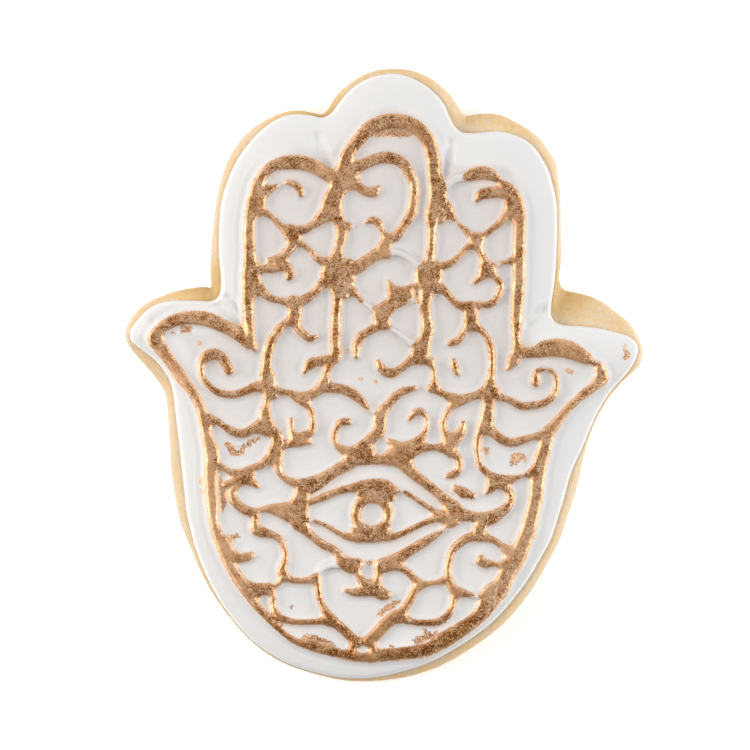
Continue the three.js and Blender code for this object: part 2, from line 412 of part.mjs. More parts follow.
    link: [[5.9, -34.2, 1.3], [7.6, -33.9, 0.5], [9.2, -33.6, 0.7], [10.5, -32.8, 1]],
    leftPetal: [[-4.3, -43.4, 1.4], [-5.1, -44.3, 1.1], [-5.3, -45.7, 1.2]],
    rightPetal: [[-3, -43.2, 1.5], [-2.1, -44.2, 1], [-1.8, -45.6, 1.2]],
  },
  bare: {
    middleBridge: [[0.6, 19.9, 1], [2.6, 19.8, 1.1], [4.3, 18.8, 1.1], [5.8, 17.2, 1.4]],
    ringArch: [
      [9.4, 29.4, 1.4], [10.5, 31.2, 1.3], [12, 32.4, 1.4], [13.6, 32.9, 1.6], [15.6, 32.9, 1.8],
      [17.6, 32.4, 1.6], [19.4, 31.2, 1.4],
    ],
    spurToBrooch: [[-3.8, 12.3, 0.6], [-2.6, 11.3, 0.8], [-1.2, 10.2, 1]],
    broochToBar: [[0.9, 7.7, 0.8], [2.6, 6.6, 0.9], [4.4, 5.2, 1.2]],
    cupGap: [[-2.8, -5.2, 0.8], [-1.6, -6.2, 0.8]],
    stemGap: [[5, -2.1, 0.6], [7.3, -2.2, 0.8]],
    rightThumbGap: [[22, 3.8, 1.2], [24.6, 4, 1.3]],
    scrollGap: [[26.6, 0.8, 0.6], [25.8, 1, 0.7]],
    garlandGap: [[22, -16.6, 0.6], [23.3, -16.2, 0.8]],
    hookGap: [[17, -30.8, 0.7], [18.2, -30.8, 0.7]],
    footGap: [[14, -35.9, 0.7], [15.8, -36, 0.9]],
    tailGap: [[-17.2, -34.1, 0.5], [-18.2, -34.8, 0.7]],
    leftLobe: [[-11, -33, 0.9], [-10.2, -31.7, 0.9], [-8.8, -31, 1], [-7.2, -30.9, 1.2]],
    linkGap: [[17.2, 17.6, 1], [18.6, 18, 0.7], [20, 18.3, 0.6]],
    spurToDiagonal: [[11.2, 25.6, 0.6], [12.3, 24.4, 0.6]],
    upperLidGap: [[1.8, -18.6, 0.9], [3.6, -19.1, 0.5]],
    leftLidGap: [[-13, -21.2, 0.8], [-11.8, -20.7, 0.6]],
    lowerLidGap: [[-13, -23.3, 0.8], [-11, -23.9, 0.5]],
    underLineGap: [[9.1, -25.6, 0.5], [10.4, -24.9, 0.8]],
  },
};

const COLOURS = { biscuit: '#dcb983', icing: '#e6e3df' };

// Points round an outline, evenly spaced in each stretch, anticlockwise seen from above.
function outlinePoints(edge) {
  const stretches = Object.keys(edge);
  const points = [];
  stretches.forEach((name, i) => {
    const next = edge[stretches[(i + 1) % stretches.length]][0];
    const corners = [...edge[name], next].map(([x, y]) => new THREE.Vector3(x, y, 0));
    const curve = new THREE.CatmullRomCurve3(corners, false, 'centripetal');
    points.push(...curve.getSpacedPoints(STRETCH_POINTS[name]).slice(0, -1));
  });
  return points.reverse();
}

// The same outline moved inwards by a distance and placed at a height.
function ringAt(points, inset, height) {
  const count = points.length;
  return points.map((point, i) => {
    const before = points[(i + count - 1) % count];
    const after = points[(i + 1) % count];
    const along = after.clone().sub(before).normalize();
    return new THREE.Vector3(point.x - along.y * inset, point.y + along.x * inset, height);
  });
}

// Points part of the way from one ring to another, at a height.
function ringBetween(outer, inner, share, height) {
  return outer.map((point, i) => {
    const mixed = point.clone().lerp(inner[i], share);
    return new THREE.Vector3(mixed.x, mixed.y, height);
  });
}

// Closed body through rings from the bottom up, with flat ends.
function loft(rings) {
  const count = rings[0].length;
  const positions = [];
  rings.forEach((ring) => ring.forEach((point) => positions.push(point.x, point.y, point.z)));
  const index = [];
  for (let level = 0; level < rings.length - 1; level += 1) {
    for (let i = 0; i < count; i += 1) {
      const j = (i + 1) % count;
      const lower = level * count;
      const upper = lower + count;
      index.push(lower + i, lower + j, upper + j);
      index.push(lower + i, upper + j, upper + i);
    }
  }
  const lid = THREE.ShapeUtils.triangulateShape(rings[0].map((p) => new THREE.Vector2(p.x, p.y)), []);
  lid.forEach(([a, b, c]) => index.push(a, c, b));
  const top = rings[rings.length - 1];
  const topStart = (rings.length - 1) * count;
  const cap = THREE.ShapeUtils.triangulateShape(top.map((p) => new THREE.Vector2(p.x, p.y)), []);
  cap.forEach(([a, b, c]) => index.push(topStart + a, topStart + b, topStart + c));
  const geometry = new THREE.BufferGeometry();
  geometry.setAttribute('position', new THREE.Float32BufferAttribute(positions, 3));
  geometry.setIndex(index);
  return geometry;
}

function ridgeHeight(width) {
  return Math.min(RIDGE_HIGH, RIDGE_LOW + RIDGE_GROWTH * width);
}

// A ridge is a bar with sloping flanks along its crest line. The curve's third coordinate carries
// the width.
function ridge(points, crestHeight) {
  const curve = new THREE.CatmullRomCurve3(points.map((p) => new THREE.Vector3(...p)), false, 'centripetal');
  const steps = Math.max(1, Math.round(curve.getLength() / RIDGE_STEP));
  const samples = curve.getSpacedPoints(steps);
  const positions = [];
  const index = [];
  samples.forEach((sample, i) => {
    const before = samples[Math.max(0, i - 1)];
    const after = samples[Math.min(steps, i + 1)];
    const side = new THREE.Vector2(before.y - after.y, after.x - before.x).normalize();
    const foot = sample.z / 2 + RIDGE_FLANK;
    const crest = (sample.z * RIDGE_CREST) / 2;
    const top = crestHeight + ridgeHeight(sample.z);
    const section = [[foot, RIDGE_BASE_HEIGHT], [-foot, RIDGE_BASE_HEIGHT], [-crest, top], [crest, top]];
    section.forEach(([across, z]) => {
      positions.push(sample.x + side.x * across, sample.y + side.y * across, z);
    });
    if (i < steps) {
      for (let k = 0; k < 4; k += 1) {
        const a = i * 4 + k;
        const b = i * 4 + ((k + 1) % 4);
        index.push(a, a + 4, b + 4);
        index.push(a, b + 4, b);
      }
    }
  });
  const last = steps * 4;
  index.push(0, 1, 2, 0, 2, 3);
  index.push(last, last + 2, last + 1, last, last + 3, last + 2);
  const geometry = new THREE.BufferGeometry();
  geometry.setAttribute('position', new THREE.Float32BufferAttribute(positions, 3));
  geometry.setIndex(index);
  return geometry;
}

// A round ridge is a ring of the same section.
function roundRidge([x, y, radius, width], crestHeight) {
  const foot = width / 2 + RIDGE_FLANK;
  const crest = (width * RIDGE_CREST) / 2;
  const top = crestHeight + ridgeHeight(width);
  const profile = [
    new THREE.Vector2(radius - foot, RIDGE_BASE_HEIGHT),
    new THREE.Vector2(radius + foot, RIDGE_BASE_HEIGHT),
    new THREE.Vector2(radius + crest, top),
    new THREE.Vector2(radius - crest, top),
    new THREE.Vector2(radius - foot, RIDGE_BASE_HEIGHT),
  ];
  const geometry = new THREE.LatheGeometry(profile, 18);
  geometry.rotateX(Math.PI / 2);
  geometry.translate(x, y, 0);
  return geometry;
}

function signedVolume(positions, index) {
  let total = 0;
  const corner = [new THREE.Vector3(), new THREE.Vector3(), new THREE.Vector3()];
  for (let i = 0; i < index.count; i += 3) {
    corner.forEach((c, k) => c.fromBufferAttribute(positions, index.getX(i + k)));
    total += corner[0].dot(corner[1].clone().cross(corner[2])) / 6;
  }
  return total;
}

// Shared vertices merged and faces turned outwards.
function closed(geometry) {
  geometry.deleteAttribute('normal');
  geometry.deleteAttribute('uv');
  const merged = mergeVertices(geometry, 1e-4);
  if (signedVolume(merged.getAttribute('position'), merged.getIndex()) < 0) {
    const turned = Array.from(merged.getIndex().array);
    for (let i = 0; i < turned.length; i += 3) {
      [turned[i + 1], turned[i + 2]] = [turned[i + 2], turned[i + 1]];
    }
    merged.setIndex(turned);
  }
  return merged;
}

const wasm = await Module();
wasm.setup();

function toSolid(geometry) {
  const ready = closed(geometry);
  const mesh = new wasm.Mesh({
    numProp: 3,
    vertProperties: new Float32Array(ready.getAttribute('position').array),
    triVerts: new Uint32Array(ready.getIndex().array),
  });
  return new wasm.Manifold(mesh);
}

function toGeometry(solid) {
  const mesh = solid.getMesh();
  const geometry = new THREE.BufferGeometry();
  geometry.setAttribute('position', new THREE.Float32BufferAttribute(mesh.vertProperties, 3));
  geometry.setIndex(new THREE.Uint32BufferAttribute(mesh.triVerts, 1));
  return geometry;
}

const biscuitEdge = outlinePoints(BISCUIT_EDGE);
const icingEdge = outlinePoints(ICING_EDGE);

// Biscuit: small rounding under, widest low down, then a quarter round up to the shelf at the icing.
function biscuitGeometry() {
  const shelf = ringAt(icingEdge, -BISCUIT_SHELF, BISCUIT_THICKNESS);
  const rise = BISCUIT_THICKNESS - BISCUIT_WIDEST_HEIGHT;
  const rings = [
    ringAt(biscuitEdge, BISCUIT_FOOT_INSET, 0),
    ringAt(biscuitEdge, BISCUIT_FOOT_INSET * 0.25, BISCUIT_WIDEST_HEIGHT * 0.35),
    ringAt(biscuitEdge, 0, BISCUIT_WIDEST_HEIGHT),
  ];
  for (const turn of [Math.PI / 6, Math.PI / 3]) {
    const height = BISCUIT_WIDEST_HEIGHT + rise * Math.sin(turn);
    rings.push(ringBetween(biscuitEdge, shelf, 1 - Math.cos(turn), height));
  }
  rings.push(shelf);
  return loft(rings);
}

// Icing: flat underside on the biscuit, a soft rounded rim and a level top.
function icingGeometry() {
  const level = BISCUIT_THICKNESS + ICING_THICKNESS;
  let icing = toSolid(loft([
    ringAt(icingEdge, 0, BISCUIT_THICKNESS),
    ringAt(icingEdge, 0, BISCUIT_THICKNESS + ICING_THICKNESS * 0.35),
    ringAt(icingEdge, ICING_RIM_INSET * 0.3, BISCUIT_THICKNESS + ICING_THICKNESS * 0.78),
    ringAt(icingEdge, ICING_RIM_INSET, level),
  ]));
  for (const region of Object.values(RIDGES)) {
    for (const points of Object.values(region)) {
      icing = icing.add(toSolid(ridge(points, level)));
    }
  }
  for (const round of Object.values(ROUND_RIDGES)) {
    icing = icing.add(toSolid(roundRidge(round, level)));
  }
  return toGeometry(icing);
}

function namedMesh(name, geometry, roughness) {
  const material = new THREE.MeshStandardMaterial({ color: COLOURS[name], roughness, metalness: 0 });
  const mesh = new THREE.Mesh(geometry, material);
  mesh.name = name;
  return mesh;
}

const group = new THREE.Group();
group.add(namedMesh('biscuit', biscuitGeometry(), 0.8));
group.add(namedMesh('icing', icingGeometry(), 0.6));

export default group;
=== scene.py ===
"""Iced butter cookie in the shape of an open hand: a rolled biscuit, one layer of white icing
stamped with a raised filigree, and copper-gold lustre brushed over the ridges."""

import math

import bmesh
import bpy
import numpy as np
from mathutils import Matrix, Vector, noise


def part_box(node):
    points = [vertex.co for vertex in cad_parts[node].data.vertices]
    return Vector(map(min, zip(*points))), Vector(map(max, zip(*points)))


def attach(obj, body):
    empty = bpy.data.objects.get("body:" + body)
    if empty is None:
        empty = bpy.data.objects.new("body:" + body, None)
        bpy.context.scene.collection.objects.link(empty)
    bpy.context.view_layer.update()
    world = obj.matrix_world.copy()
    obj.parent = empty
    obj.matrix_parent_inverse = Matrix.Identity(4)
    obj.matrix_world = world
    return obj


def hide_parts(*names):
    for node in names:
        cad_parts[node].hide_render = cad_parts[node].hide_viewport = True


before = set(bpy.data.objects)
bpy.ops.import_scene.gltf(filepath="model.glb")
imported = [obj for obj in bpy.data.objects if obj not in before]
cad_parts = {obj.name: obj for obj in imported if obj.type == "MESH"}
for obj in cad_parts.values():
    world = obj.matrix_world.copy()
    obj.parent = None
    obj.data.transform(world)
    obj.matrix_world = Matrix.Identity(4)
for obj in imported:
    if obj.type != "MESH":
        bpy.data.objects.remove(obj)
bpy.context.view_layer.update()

bl_info = {
    "name": "Iced Hand Cookie",
    "version": (1, 0, 0),
    "blender": (4, 5, 0),
    "location": "View3D > Sidebar > Cookie",
    "description": "Builds an iced butter cookie with a stamped filigree",
    "category": "Add Mesh",
}

MM = 0.001

# Heights of the two layers, from the frame, in millimetres.
BISCUIT_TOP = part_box("biscuit")[1][2] / MM
ICING_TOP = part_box("icing")[1][2] / MM

# Points along each stretch of the two outlines, the same for both, so that they loft together.
STRETCH_POINTS = {
    "index": 108, "middle": 90, "ring": 108, "right thumb": 54, "palm": 348, "left thumb": 60,
}

# Edge of the biscuit seen from above in millimetres, clockwise from the notch left of the index
# finger. Each stretch starts at a notch between two fingers or at the tip of a thumb.
BISCUIT_EDGE = {
    "index": [
        (-28, 14.1), (-28.3, 15.5), (-28.2, 20.4), (-27.7, 25.2), (-27.3, 28.5), (-26.6, 31.8),
        (-25.5, 35), (-23.6, 38), (-22, 39.7), (-19.9, 41.3), (-17, 42.7), (-15, 43.2),
        (-12, 42.9),
    ],
    "middle": [
        (-10, 42.4), (-9.4, 43), (-8.8, 44), (-8, 45.3), (-7, 46.4), (-5.4, 47.8), (-3, 49.1),
        (-1, 49.8), (1.8, 50), (4, 49.85), (6, 49.2), (8, 48.2), (9.9, 46.6), (11.6, 44.7),
        (12.5, 43.1),
    ],
    "ring": [
        (13.2, 42.1), (14, 42.3), (15.5, 42.6), (17, 42.7), (19, 42.5), (21.3, 41.4), (24.2, 39.7),
        (25.8, 38.2), (26.9, 36.6), (27.9, 35.1), (28.5, 31.8), (28.8, 28.5), (28.9, 23.6),
        (28.9, 18.7), (28.5, 15.5),
    ],
    "right thumb": [
        (29.1, 13.9), (31, 13.5), (32.5, 13.2), (35.5, 12.1), (37.7, 10.4), (39.6, 8.9),
        (40.9, 7.3), (41.7, 5.7),
    ],
    "palm": [
        (42.3, 4.1), (42.1, 2.4), (41, 0.8), (39.2, -0.8), (37.7, -2.4), (36.4, -4.1),
        (35.5, -5.7), (34.6, -7.3), (33.4, -10.6), (32.5, -13.8), (31.8, -17.1), (30.9, -20.4),
        (29.8, -23.6), (28.7, -26.9), (27, -30.1), (25.2, -33.4), (23, -36.6), (20.2, -39.9),
        (16.3, -43.2), (11.4, -46.4), (7.65, -48.1), (3, -49.4), (-1, -49.9), (-4, -50),
        (-7.8, -49.6), (-13.7, -47.9), (-19.9, -44.7), (-23.6, -41.4), (-27.3, -36.6),
        (-29.3, -33.4), (-30.8, -30.1), (-32.1, -26.9), (-33.4, -23.6), (-34, -20.4),
        (-34.5, -17.1), (-34.85, -13.8), (-35, -10.6), (-35.2, -7.3), (-35.5, -4.1), (-36, -2.4),
        (-37, -0.8), (-38.3, 0.8), (-39.7, 2.4), (-41.2, 4.1),
    ],
    "left thumb": [
        (-42.2, 5.7), (-42.2, 7.3), (-41.4, 9), (-40.2, 10.6), (-38.1, 12.1), (-33.9, 13.7),
        (-30, 14.4), (-29.3, 14.4),
    ],
}

# Edge of the icing seen from above, in the same stretches.
ICING_EDGE = {
    "index": [
        (-26.7, 12.9), (-26.5, 15.5), (-26.8, 18.7), (-26.9, 22), (-26.8, 25.2), (-26.4, 28.5),
        (-25.4, 31.8), (-23.9, 35), (-21.5, 38.3), (-19.9, 39.9), (-17.5, 41.6), (-16, 42.2),
        (-14, 42.5), (-12, 42.3),
    ],
    "middle": [
        (-10.2, 41.8), (-8.6, 42.5), (-7.7, 43.8), (-6.8, 45), (-5.8, 46.1), (-4.8, 47),
        (-3.3, 47.9), (-2, 48.5), (0, 48.95), (2, 49.05), (3.5, 48.75), (5, 48.1), (6.5, 47.3),
        (8, 46.1), (9, 45.1), (9.8, 44), (10.3, 43), (10.8, 41.7), (11.7, 40.2),
    ],
    "ring": [
        (12.8, 39.4), (15, 39.4), (17, 39.6), (19, 39.7), (21.5, 39), (23, 38.3), (24.8, 36.7),
        (25.8, 35.1), (26.7, 33.5), (27.2, 31.9), (28, 28.5), (28.2, 25.2), (28.1, 20.4),
        (27.8, 15.5), (27.3, 12),
    ],
    "right thumb": [
        (27.1, 10), (27.3, 9.2), (28.2, 8.4), (29.5, 8.1), (32, 8), (35, 7.6), (38, 6.9),
        (40, 6.2), (41.1, 5.3),
    ],
    "palm": [
        (41.5, 4.1), (40.9, 2.3), (39.9, 0.7), (38.5, -0.9), (37, -2.5), (35.9, -4.2),
        (34.9, -5.8), (33.4, -9.1), (32.1, -12.3), (30.6, -15.5), (29.2, -20.4), (28.2, -23.6),
        (27.1, -26.9), (25.3, -30.2), (23.3, -33.5), (20.8, -36.8), (17.8, -40.1), (13.3, -43.5),
        (10.1, -45.4), (7, -47), (3.9, -48), (1, -48.8), (-2, -49.3), (-5, -49.4), (-7.8, -49.2),
        (-13.2, -47.9), (-17.1, -46.3), (-21.6, -43.1), (-25.7, -38.3), (-27.7, -35.1),
        (-29.3, -31.8), (-30.6, -28.5), (-31.5, -25.2), (-32.2, -22), (-32.5, -18.7),
        (-32.9, -15.5), (-33.2, -12.2), (-33.6, -9), (-34, -5.7), (-34.4, -2.4), (-34.9, -0.8),
        (-35.9, 0.8), (-37.1, 2.3), (-39.3, 4),
    ],
    "left thumb": [
        (-41.4, 5.6), (-41.3, 7.3), (-40.1, 9), (-39, 10.2), (-38, 11), (-36.5, 11.7), (-34, 12.1),
        (-30, 12.1), (-28.6, 12), (-27.5, 12.2),
    ],
}

# The filigree: for each ridge, x, y and painted width at points along its crest.
# The bare ones stand up like the rest but carry no lustre.
RIDGES = {
    "index finger": {
        "arch and outer bar": [
            (-21.1, 4.2, 0.7), (-21.8, 6.5, 1.6), (-22.1, 12, 1.7), (-21.6, 14.5, 2.8),
            (-21.6, 16.6, 2.8), (-21.8, 19.5, 1.7), (-21.8, 25.2, 1.7), (-20.7, 28.2, 3),
            (-20.4, 31.4, 1.5), (-18.1, 34, 1.6), (-15, 34.6, 2.2), (-12, 34.15, 2.2),
            (-9.4, 32.75, 2), (-7.6, 31.6, 2),
        ],
        "upper hook": [(-20.4, 29, 2.2), (-19, 30, 1.3), (-17.4, 30.8, 0.4)],
        "comma": [(-15.9, 31.3, 0.4), (-14.7, 31.1, 0.9), (-13.8, 30.3, 1), (-13.5, 29.4, 0.7)],
        "diagonal left": [
            (-20.2, 26.9, 1.2), (-18.2, 25.6, 0.7), (-16.4, 23.9, 0.9), (-14.9, 22.6, 2.4),
        ],
        "diagonal right": [
            (-15.4, 24, 1), (-13.4, 23.6, 1.2), (-11.5, 24.5, 1.1), (-9.8, 25.9, 2),
            (-8.6, 28.6, 2.4),
        ],
        "lower right": [
            (-14.7, 22.4, 1.6), (-13.6, 21.4, 0.8), (-12, 20.3, 0.6), (-11.1, 19.1, 0.8),
            (-9.6, 18.3, 1.4),
        ],
        "lower left": [
            (-14.7, 22.4, 1.8), (-15.2, 20.8, 1.5), (-16.4, 19.4, 1.2), (-17.4, 18.9, 1.2),
            (-18.8, 18.7, 0.5),
        ],
        "heart hook": [
            (-17.3, 18.6, 1.4), (-16.3, 17.9, 1.3), (-15.5, 17.2, 1.4), (-15.2, 16.4, 1.4),
            (-15.4, 15.9, 1),
        ],
        "heart top": [(-21, 16.8, 1.6), (-19.7, 17.2, 1), (-18, 17.2, 1), (-16.6, 17.6, 1)],
        "heart bottom": [
            (-20.6, 14.6, 1.7), (-19, 12.8, 1.1), (-16.9, 12.1, 0.8), (-15, 11.7, 1.2),
            (-13, 12.2, 1.5), (-11.2, 13.5, 1.1), (-10.1, 14.9, 1.4), (-8.6, 15.8, 1.6),
        ],
    },
    "bar between index and middle": {
        "bar": [
            (-6.3, 32.4, 4), (-7.5, 30.2, 2.7), (-8.3, 28.3, 2.9), (-7.8, 26.2, 2),
            (-7.1, 24.4, 1.5), (-6.9, 22.6, 1.7), (-7.5, 20.2, 1.3), (-7.8, 18, 2.9),
            (-8, 16.4, 4.2), (-7.6, 14, 2.1), (-7.6, 12, 1.3), (-7.8, 9.5, 1.4), (-7.9, 7.2, 1.6),
            (-7.9, 5, 1.4), (-7.9, 3, 1.7), (-8.8, 1.8, 1.2), (-9.4, 0.2, 0.9), (-9.7, -1.2, 1.8),
        ],
        "nub": [(-6.9, 23.6, 1.2), (-5.7, 24.2, 1)],
        "lower nub": [(-6.4, 16.2, 1.2), (-5.4, 15.5, 1.2)],
        "spur web": [(-7.2, 13.3, 1), (-6.3, 12.9, 1)],
        "spur": [(-6.9, 14.2, 1.4), (-5.2, 13.8, 1.3), (-4.4, 12.9, 0.7), (-3.6, 12, 0.4)],
        "foot hook": [
            (-7.9, 2.8, 0.8), (-9.2, 2.7, 0.8), (-10.6, 2.3, 1.3), (-11.9, 1.8, 1.6),
            (-12.9, 0.6, 0.5),
        ],
    },
    "middle finger": {
        "arch and inner bar": [
            (-6.4, 33.4, 2.6), (-5.8, 36, 1.8), (-4.1, 38.3, 1.9), (-2.2, 40.2, 2.3),
            (0.4, 41.2, 2.3), (3.3, 41.1, 2.3), (5.6, 40, 2.3), (7.3, 37.9, 2.1), (8, 35.5, 2),
            (8.2, 33, 2), (8.7, 30.5, 2.7), (8.7, 28.2, 2.8), (7.9, 26, 2.1), (7.8, 24, 1.3),
            (7.7, 20.5, 1.2), (7.4, 18.4, 1.5), (7.3, 16.3, 4.3), (7.1, 14.2, 2.2), (6.8, 12, 1.6),
            (6.8, 10, 1.5), (7.1, 7.4, 1.9), (6.6, 5.7, 1.9), (6, 4.2, 2.9), (5.8, 3.1, 2.8),
        ],
        "spur": [(9.3, 28.6, 1.6), (10.5, 27, 1.3), (11.3, 25.4, 0.7)],
        "spur web": [(8.6, 27, 1.4), (9.6, 25.9, 1), (9.4, 25, 0.6)],
        "great hook": [
            (-6, 32.4, 2.4), (-4.1, 33.8, 1.6), (-2.1, 34.8, 1.6), (0.2, 35.4, 1.7),
            (2.6, 34.8, 1.6), (4, 33.1, 1.5), (4.9, 31, 1.3), (4.8, 28.4, 1.3), (4.4, 26.1, 1.5),
            (3.2, 24.3, 1.1), (2, 22.6, 1.4), (0.7, 21.9, 1.6), (-0.1, 20.7, 2),
        ],
        "small hook": [
            (-5.2, 31.6, 2.2), (-4, 30.5, 1.3), (-2.7, 29.8, 1.3), (-1.6, 29.8, 1.5),
            (-1, 30.4, 0.8),
        ],
        "branch": [
            (0.4, 22.4, 1), (-0.3, 23.4, 0.6), (-0.9, 24.7, 1.1), (-1.9, 25.2, 1),
            (-2.8, 24.9, 0.4),
        ],
        "return": [
            (0.6, 19.5, 1.1), (-0.9, 19.7, 1.8), (-2.4, 18.8, 1.7), (-4.3, 17.5, 1.8),
            (-6.6, 16.6, 1.6),
        ],
        "return web": [(-6.7, 17.8, 1.2), (-5.6, 18.4, 0.9)],
        "brooch": [
            (0.8, 15.1, 0.4), (1.2, 14.1, 1.3), (2.2, 13.2, 2.3), (3.2, 13.2, 2.1),
            (3.9, 13.3, 1.6),
        ],
        "brooch edge": [(2.1, 11.3, 0.7), (3.2, 11.8, 0.7), (3.9, 12.6, 0.5)],
        "brooch tie": [(3.9, 14.3, 0.4), (5, 14.6, 0.4), (6, 14.5, 0.8)],
        "brooch foot": [(1.4, 13.2, 1.2), (1.1, 11.5, 2), (-0.3, 10, 2.9), (-0.2, 8.6, 2.4)],
        "brooch leaf": [(0.4, 11.4, 1.2), (-0.6, 11.1, 0.8), (-1.6, 10.9, 0.4)],
        "lower hook": [
            (0.9, 7.8, 0.6), (-0.6, 8, 1.1), (-2.1, 7.3, 1.1), (-3.6, 6.4, 1.3), (-4.4, 5, 1.3),
            (-4.5, 3.1, 0.8),
        ],
        "inner scroll": [
            (5.2, 2.8, 1.8), (3.9, 1.9, 1.1), (2.7, 1, 1), (1.3, 0.3, 1.3), (0.2, 0.5, 1.3),
            (-0.5, 1.2, 1.2), (-0.9, 2, 0.8),
        ],
        "outer link": [
            (6.4, 2.8, 1.4), (7.5, 2.1, 1.4), (8, 1.1, 0.7), (8.2, -0.5, 0.5), (8.2, -2, 1.7),
        ],
    },
    "ring finger": {
        "outer bar": [
            (18.8, 31.5, 0.5), (19.9, 30.6, 1.5), (20.8, 29, 2.7), (21.3, 27.4, 3),
            (21.9, 25.9, 2.2), (22.1, 24.4, 1.8), (22, 20, 1.8), (22, 16.4, 1.8),
            (21.8, 12.5, 1.8), (21.6, 9, 1.6), (21.6, 5.6, 1.1), (21.8, 4, 1.9), (21, 2.2, 1.7),
            (20.2, 1.1, 0.5),
        ],
        "cap": [
            (13.6, 32.3, 1.5), (14.8, 32.7, 2), (16.2, 32.9, 1.9), (17.5, 32.6, 1.6),
            (18.3, 32.1, 1),
        ],
        "hook": [
            (20.4, 29.4, 1.6), (18.7, 29.7, 1.5), (17, 29.6, 1.7), (15.8, 29.3, 1.5),
            (15.2, 28.5, 0.7),
        ],
        "diagonal left": [
            (12.3, 24.5, 0.5), (13.3, 23.5, 0.8), (14.3, 22.6, 1.2), (15.2, 21.7, 2.2),
        ],
        "diagonal right": [
            (14.9, 22.4, 1.4), (16.3, 22.8, 0.8), (17.6, 23.8, 0.8), (19, 24.9, 1),
            (20.3, 26.6, 1.6),
        ],
        "lower left": [
            (14.9, 21.2, 1.4), (13.5, 20.7, 0.8), (12.4, 19.5, 0.7), (11, 18.3, 0.9),
            (9.6, 17.7, 1.1), (8.2, 17.6, 1.6),
        ],
        "lower right": [(15.1, 21.4, 1.6), (15.8, 19.8, 0.9), (16.4, 18.5, 1), (16.6, 17.2, 2.4)],
        "link": [
            (19.1, 18.3, 0.4), (19.9, 18.3, 0.4), (20.7, 18.6, 0.9), (21.5, 18.9, 1.2),
            (22, 19.4, 1.2),
        ],
        "heart hook": [(16.9, 17.4, 2.2), (16, 16.2, 1.3), (14.8, 15.1, 0.5)],
        "heart": [
            (17.2, 17.2, 1.8), (18.1, 15.9, 0.9), (19, 14.6, 0.8), (18.6, 13, 0.9),
            (17.5, 11.6, 0.9), (15.8, 11.4, 0.8), (14.2, 11.2, 1.5), (12.4, 11.3, 1.1),
            (10.8, 12.5, 0.9), (9.7, 13.8, 1.1), (8.2, 14.5, 2.3),
        ],
        "heart foot": [(14.1, 11, 1.8), (14.1, 10, 2), (14.3, 8.4, 2.3)],
        "foot hook": [
            (13.8, 8.2, 1.3), (12.9, 6.8, 0.9), (12.1, 5.7, 1), (11.1, 5.2, 0.9), (10.6, 5.1, 0.5),
        ],
    },
    "left thumb": {
        "border": [
            (-22, 5.3, 2), (-24.1, 6.9, 2), (-26.4, 8.1, 2), (-28.3, 8.9, 2.2), (-30.4, 9.3, 2.1),
            (-32.8, 9.2, 1.9), (-34.9, 8.5, 1.8), (-36.5, 7.3, 1.8), (-37.2, 5.9, 2.4),
            (-36.4, 4.5, 2), (-34.9, 2.4, 1.7), (-33.2, -0.1, 1.8), (-31.4, -2.5, 1.4),
            (-30, -4.9, 1.4), (-29.2, -7.5, 1.6), (-28.8, -10, 1.6),
        ],
        "scroll": [
            (-18.9, -2.2, 1.7), (-20.4, -1.9, 1.6), (-22, -2.4, 1.2), (-23.6, -3, 1.1),
            (-25.2, -3.2, 1), (-27, -2.8, 0.9), (-28.7, -1.5, 0.8), (-29.7, 0.2, 0.7),
            (-29.6, 2, 1.1), (-28.7, 3.1, 1.7), (-27.3, 3.4, 1.5), (-26.1, 2.4, 1.5),
            (-25.2, 0.8, 1.4),
        ],
        "garland": [
            (-28.4, -7.2, 1.6), (-27.2, -7.5, 0.8), (-25.8, -8.5, 0.9), (-24.4, -9.3, 1.2),
            (-22.8, -9.5, 1.2), (-21.2, -8.7, 1.4), (-19.9, -7.8, 1.6), (-19, -7.2, 1.2),
        ],
        "garland web": [(-20.3, -9, 1), (-19.3, -9.4, 1.1)],
    },
    "right thumb": {
        "border": [
            (22.2, 3.7, 1.6), (24.4, 3.7, 1.6), (26, 4.2, 2.5), (28, 4.4, 2.8), (30, 4.1, 2.8),
            (31.8, 3.3, 2.3), (33.1, 2.6, 1.6), (33.8, 2.2, 0.7),
        ],
        "corner": [
            (35.2, 1.7, 0.7), (35.2, 0.8, 1.7), (35.4, -0.5, 2.1), (34.2, -1.8, 1.5),
            (32.2, -3.4, 1.2), (30.1, -5.3, 1.1), (28.3, -7.5, 1.4), (26.6, -9.6, 2.2),
        ],
        "scroll": [
            (17.4, -2.6, 2.4), (18.7, -3.5, 1), (20.4, -4.1, 0.9), (22.2, -5, 1.1), (24, -5, 1.1),
            (25.9, -4.6, 1), (27.5, -3.4, 1), (28.1, -1.6, 0.7), (27.9, -0.2, 0.6),
            (27.3, 0.6, 0.6), (26.8, 0.9, 0.4),
        ],
        "scroll end": [
            (25.6, 0.9, 0.4), (25, 0.6, 0.8), (24.7, -0.1, 1), (24.7, -1, 1.4), (24.7, -1.4, 1),
        ],
        "garland": [
            (16.7, -8.4, 1.6), (17.9, -9.5, 1.4), (19.4, -10.6, 1.3), (20.9, -11, 1.2),
            (22.6, -10.6, 1.1), (24.2, -10.1, 0.8), (26, -9.8, 1.4),
        ],
    },
    "palm top": {
        "left junction": [(-14.9, 11.8, 2.1), (-14.5, 10.6, 1.9), (-14.6, 9, 2.3)],
        "left ring": [
            (-14.7, 8.9, 1), (-16.2, 8.3, 0.9), (-17.3, 7, 1.3), (-18.4, 5.2, 1.3),
            (-18.9, 3.2, 1.4), (-19.1, 1.2, 1.6), (-18.9, -1, 2.6), (-18.9, -2.6, 1.5),
        ],
        "left hook": [
            (-14.3, 9.2, 1), (-14, 7.6, 1.1), (-12.9, 6.5, 1.1), (-12.1, 5.9, 0.9),
            (-11, 6.3, 0.4),
        ],
        "left cup": [
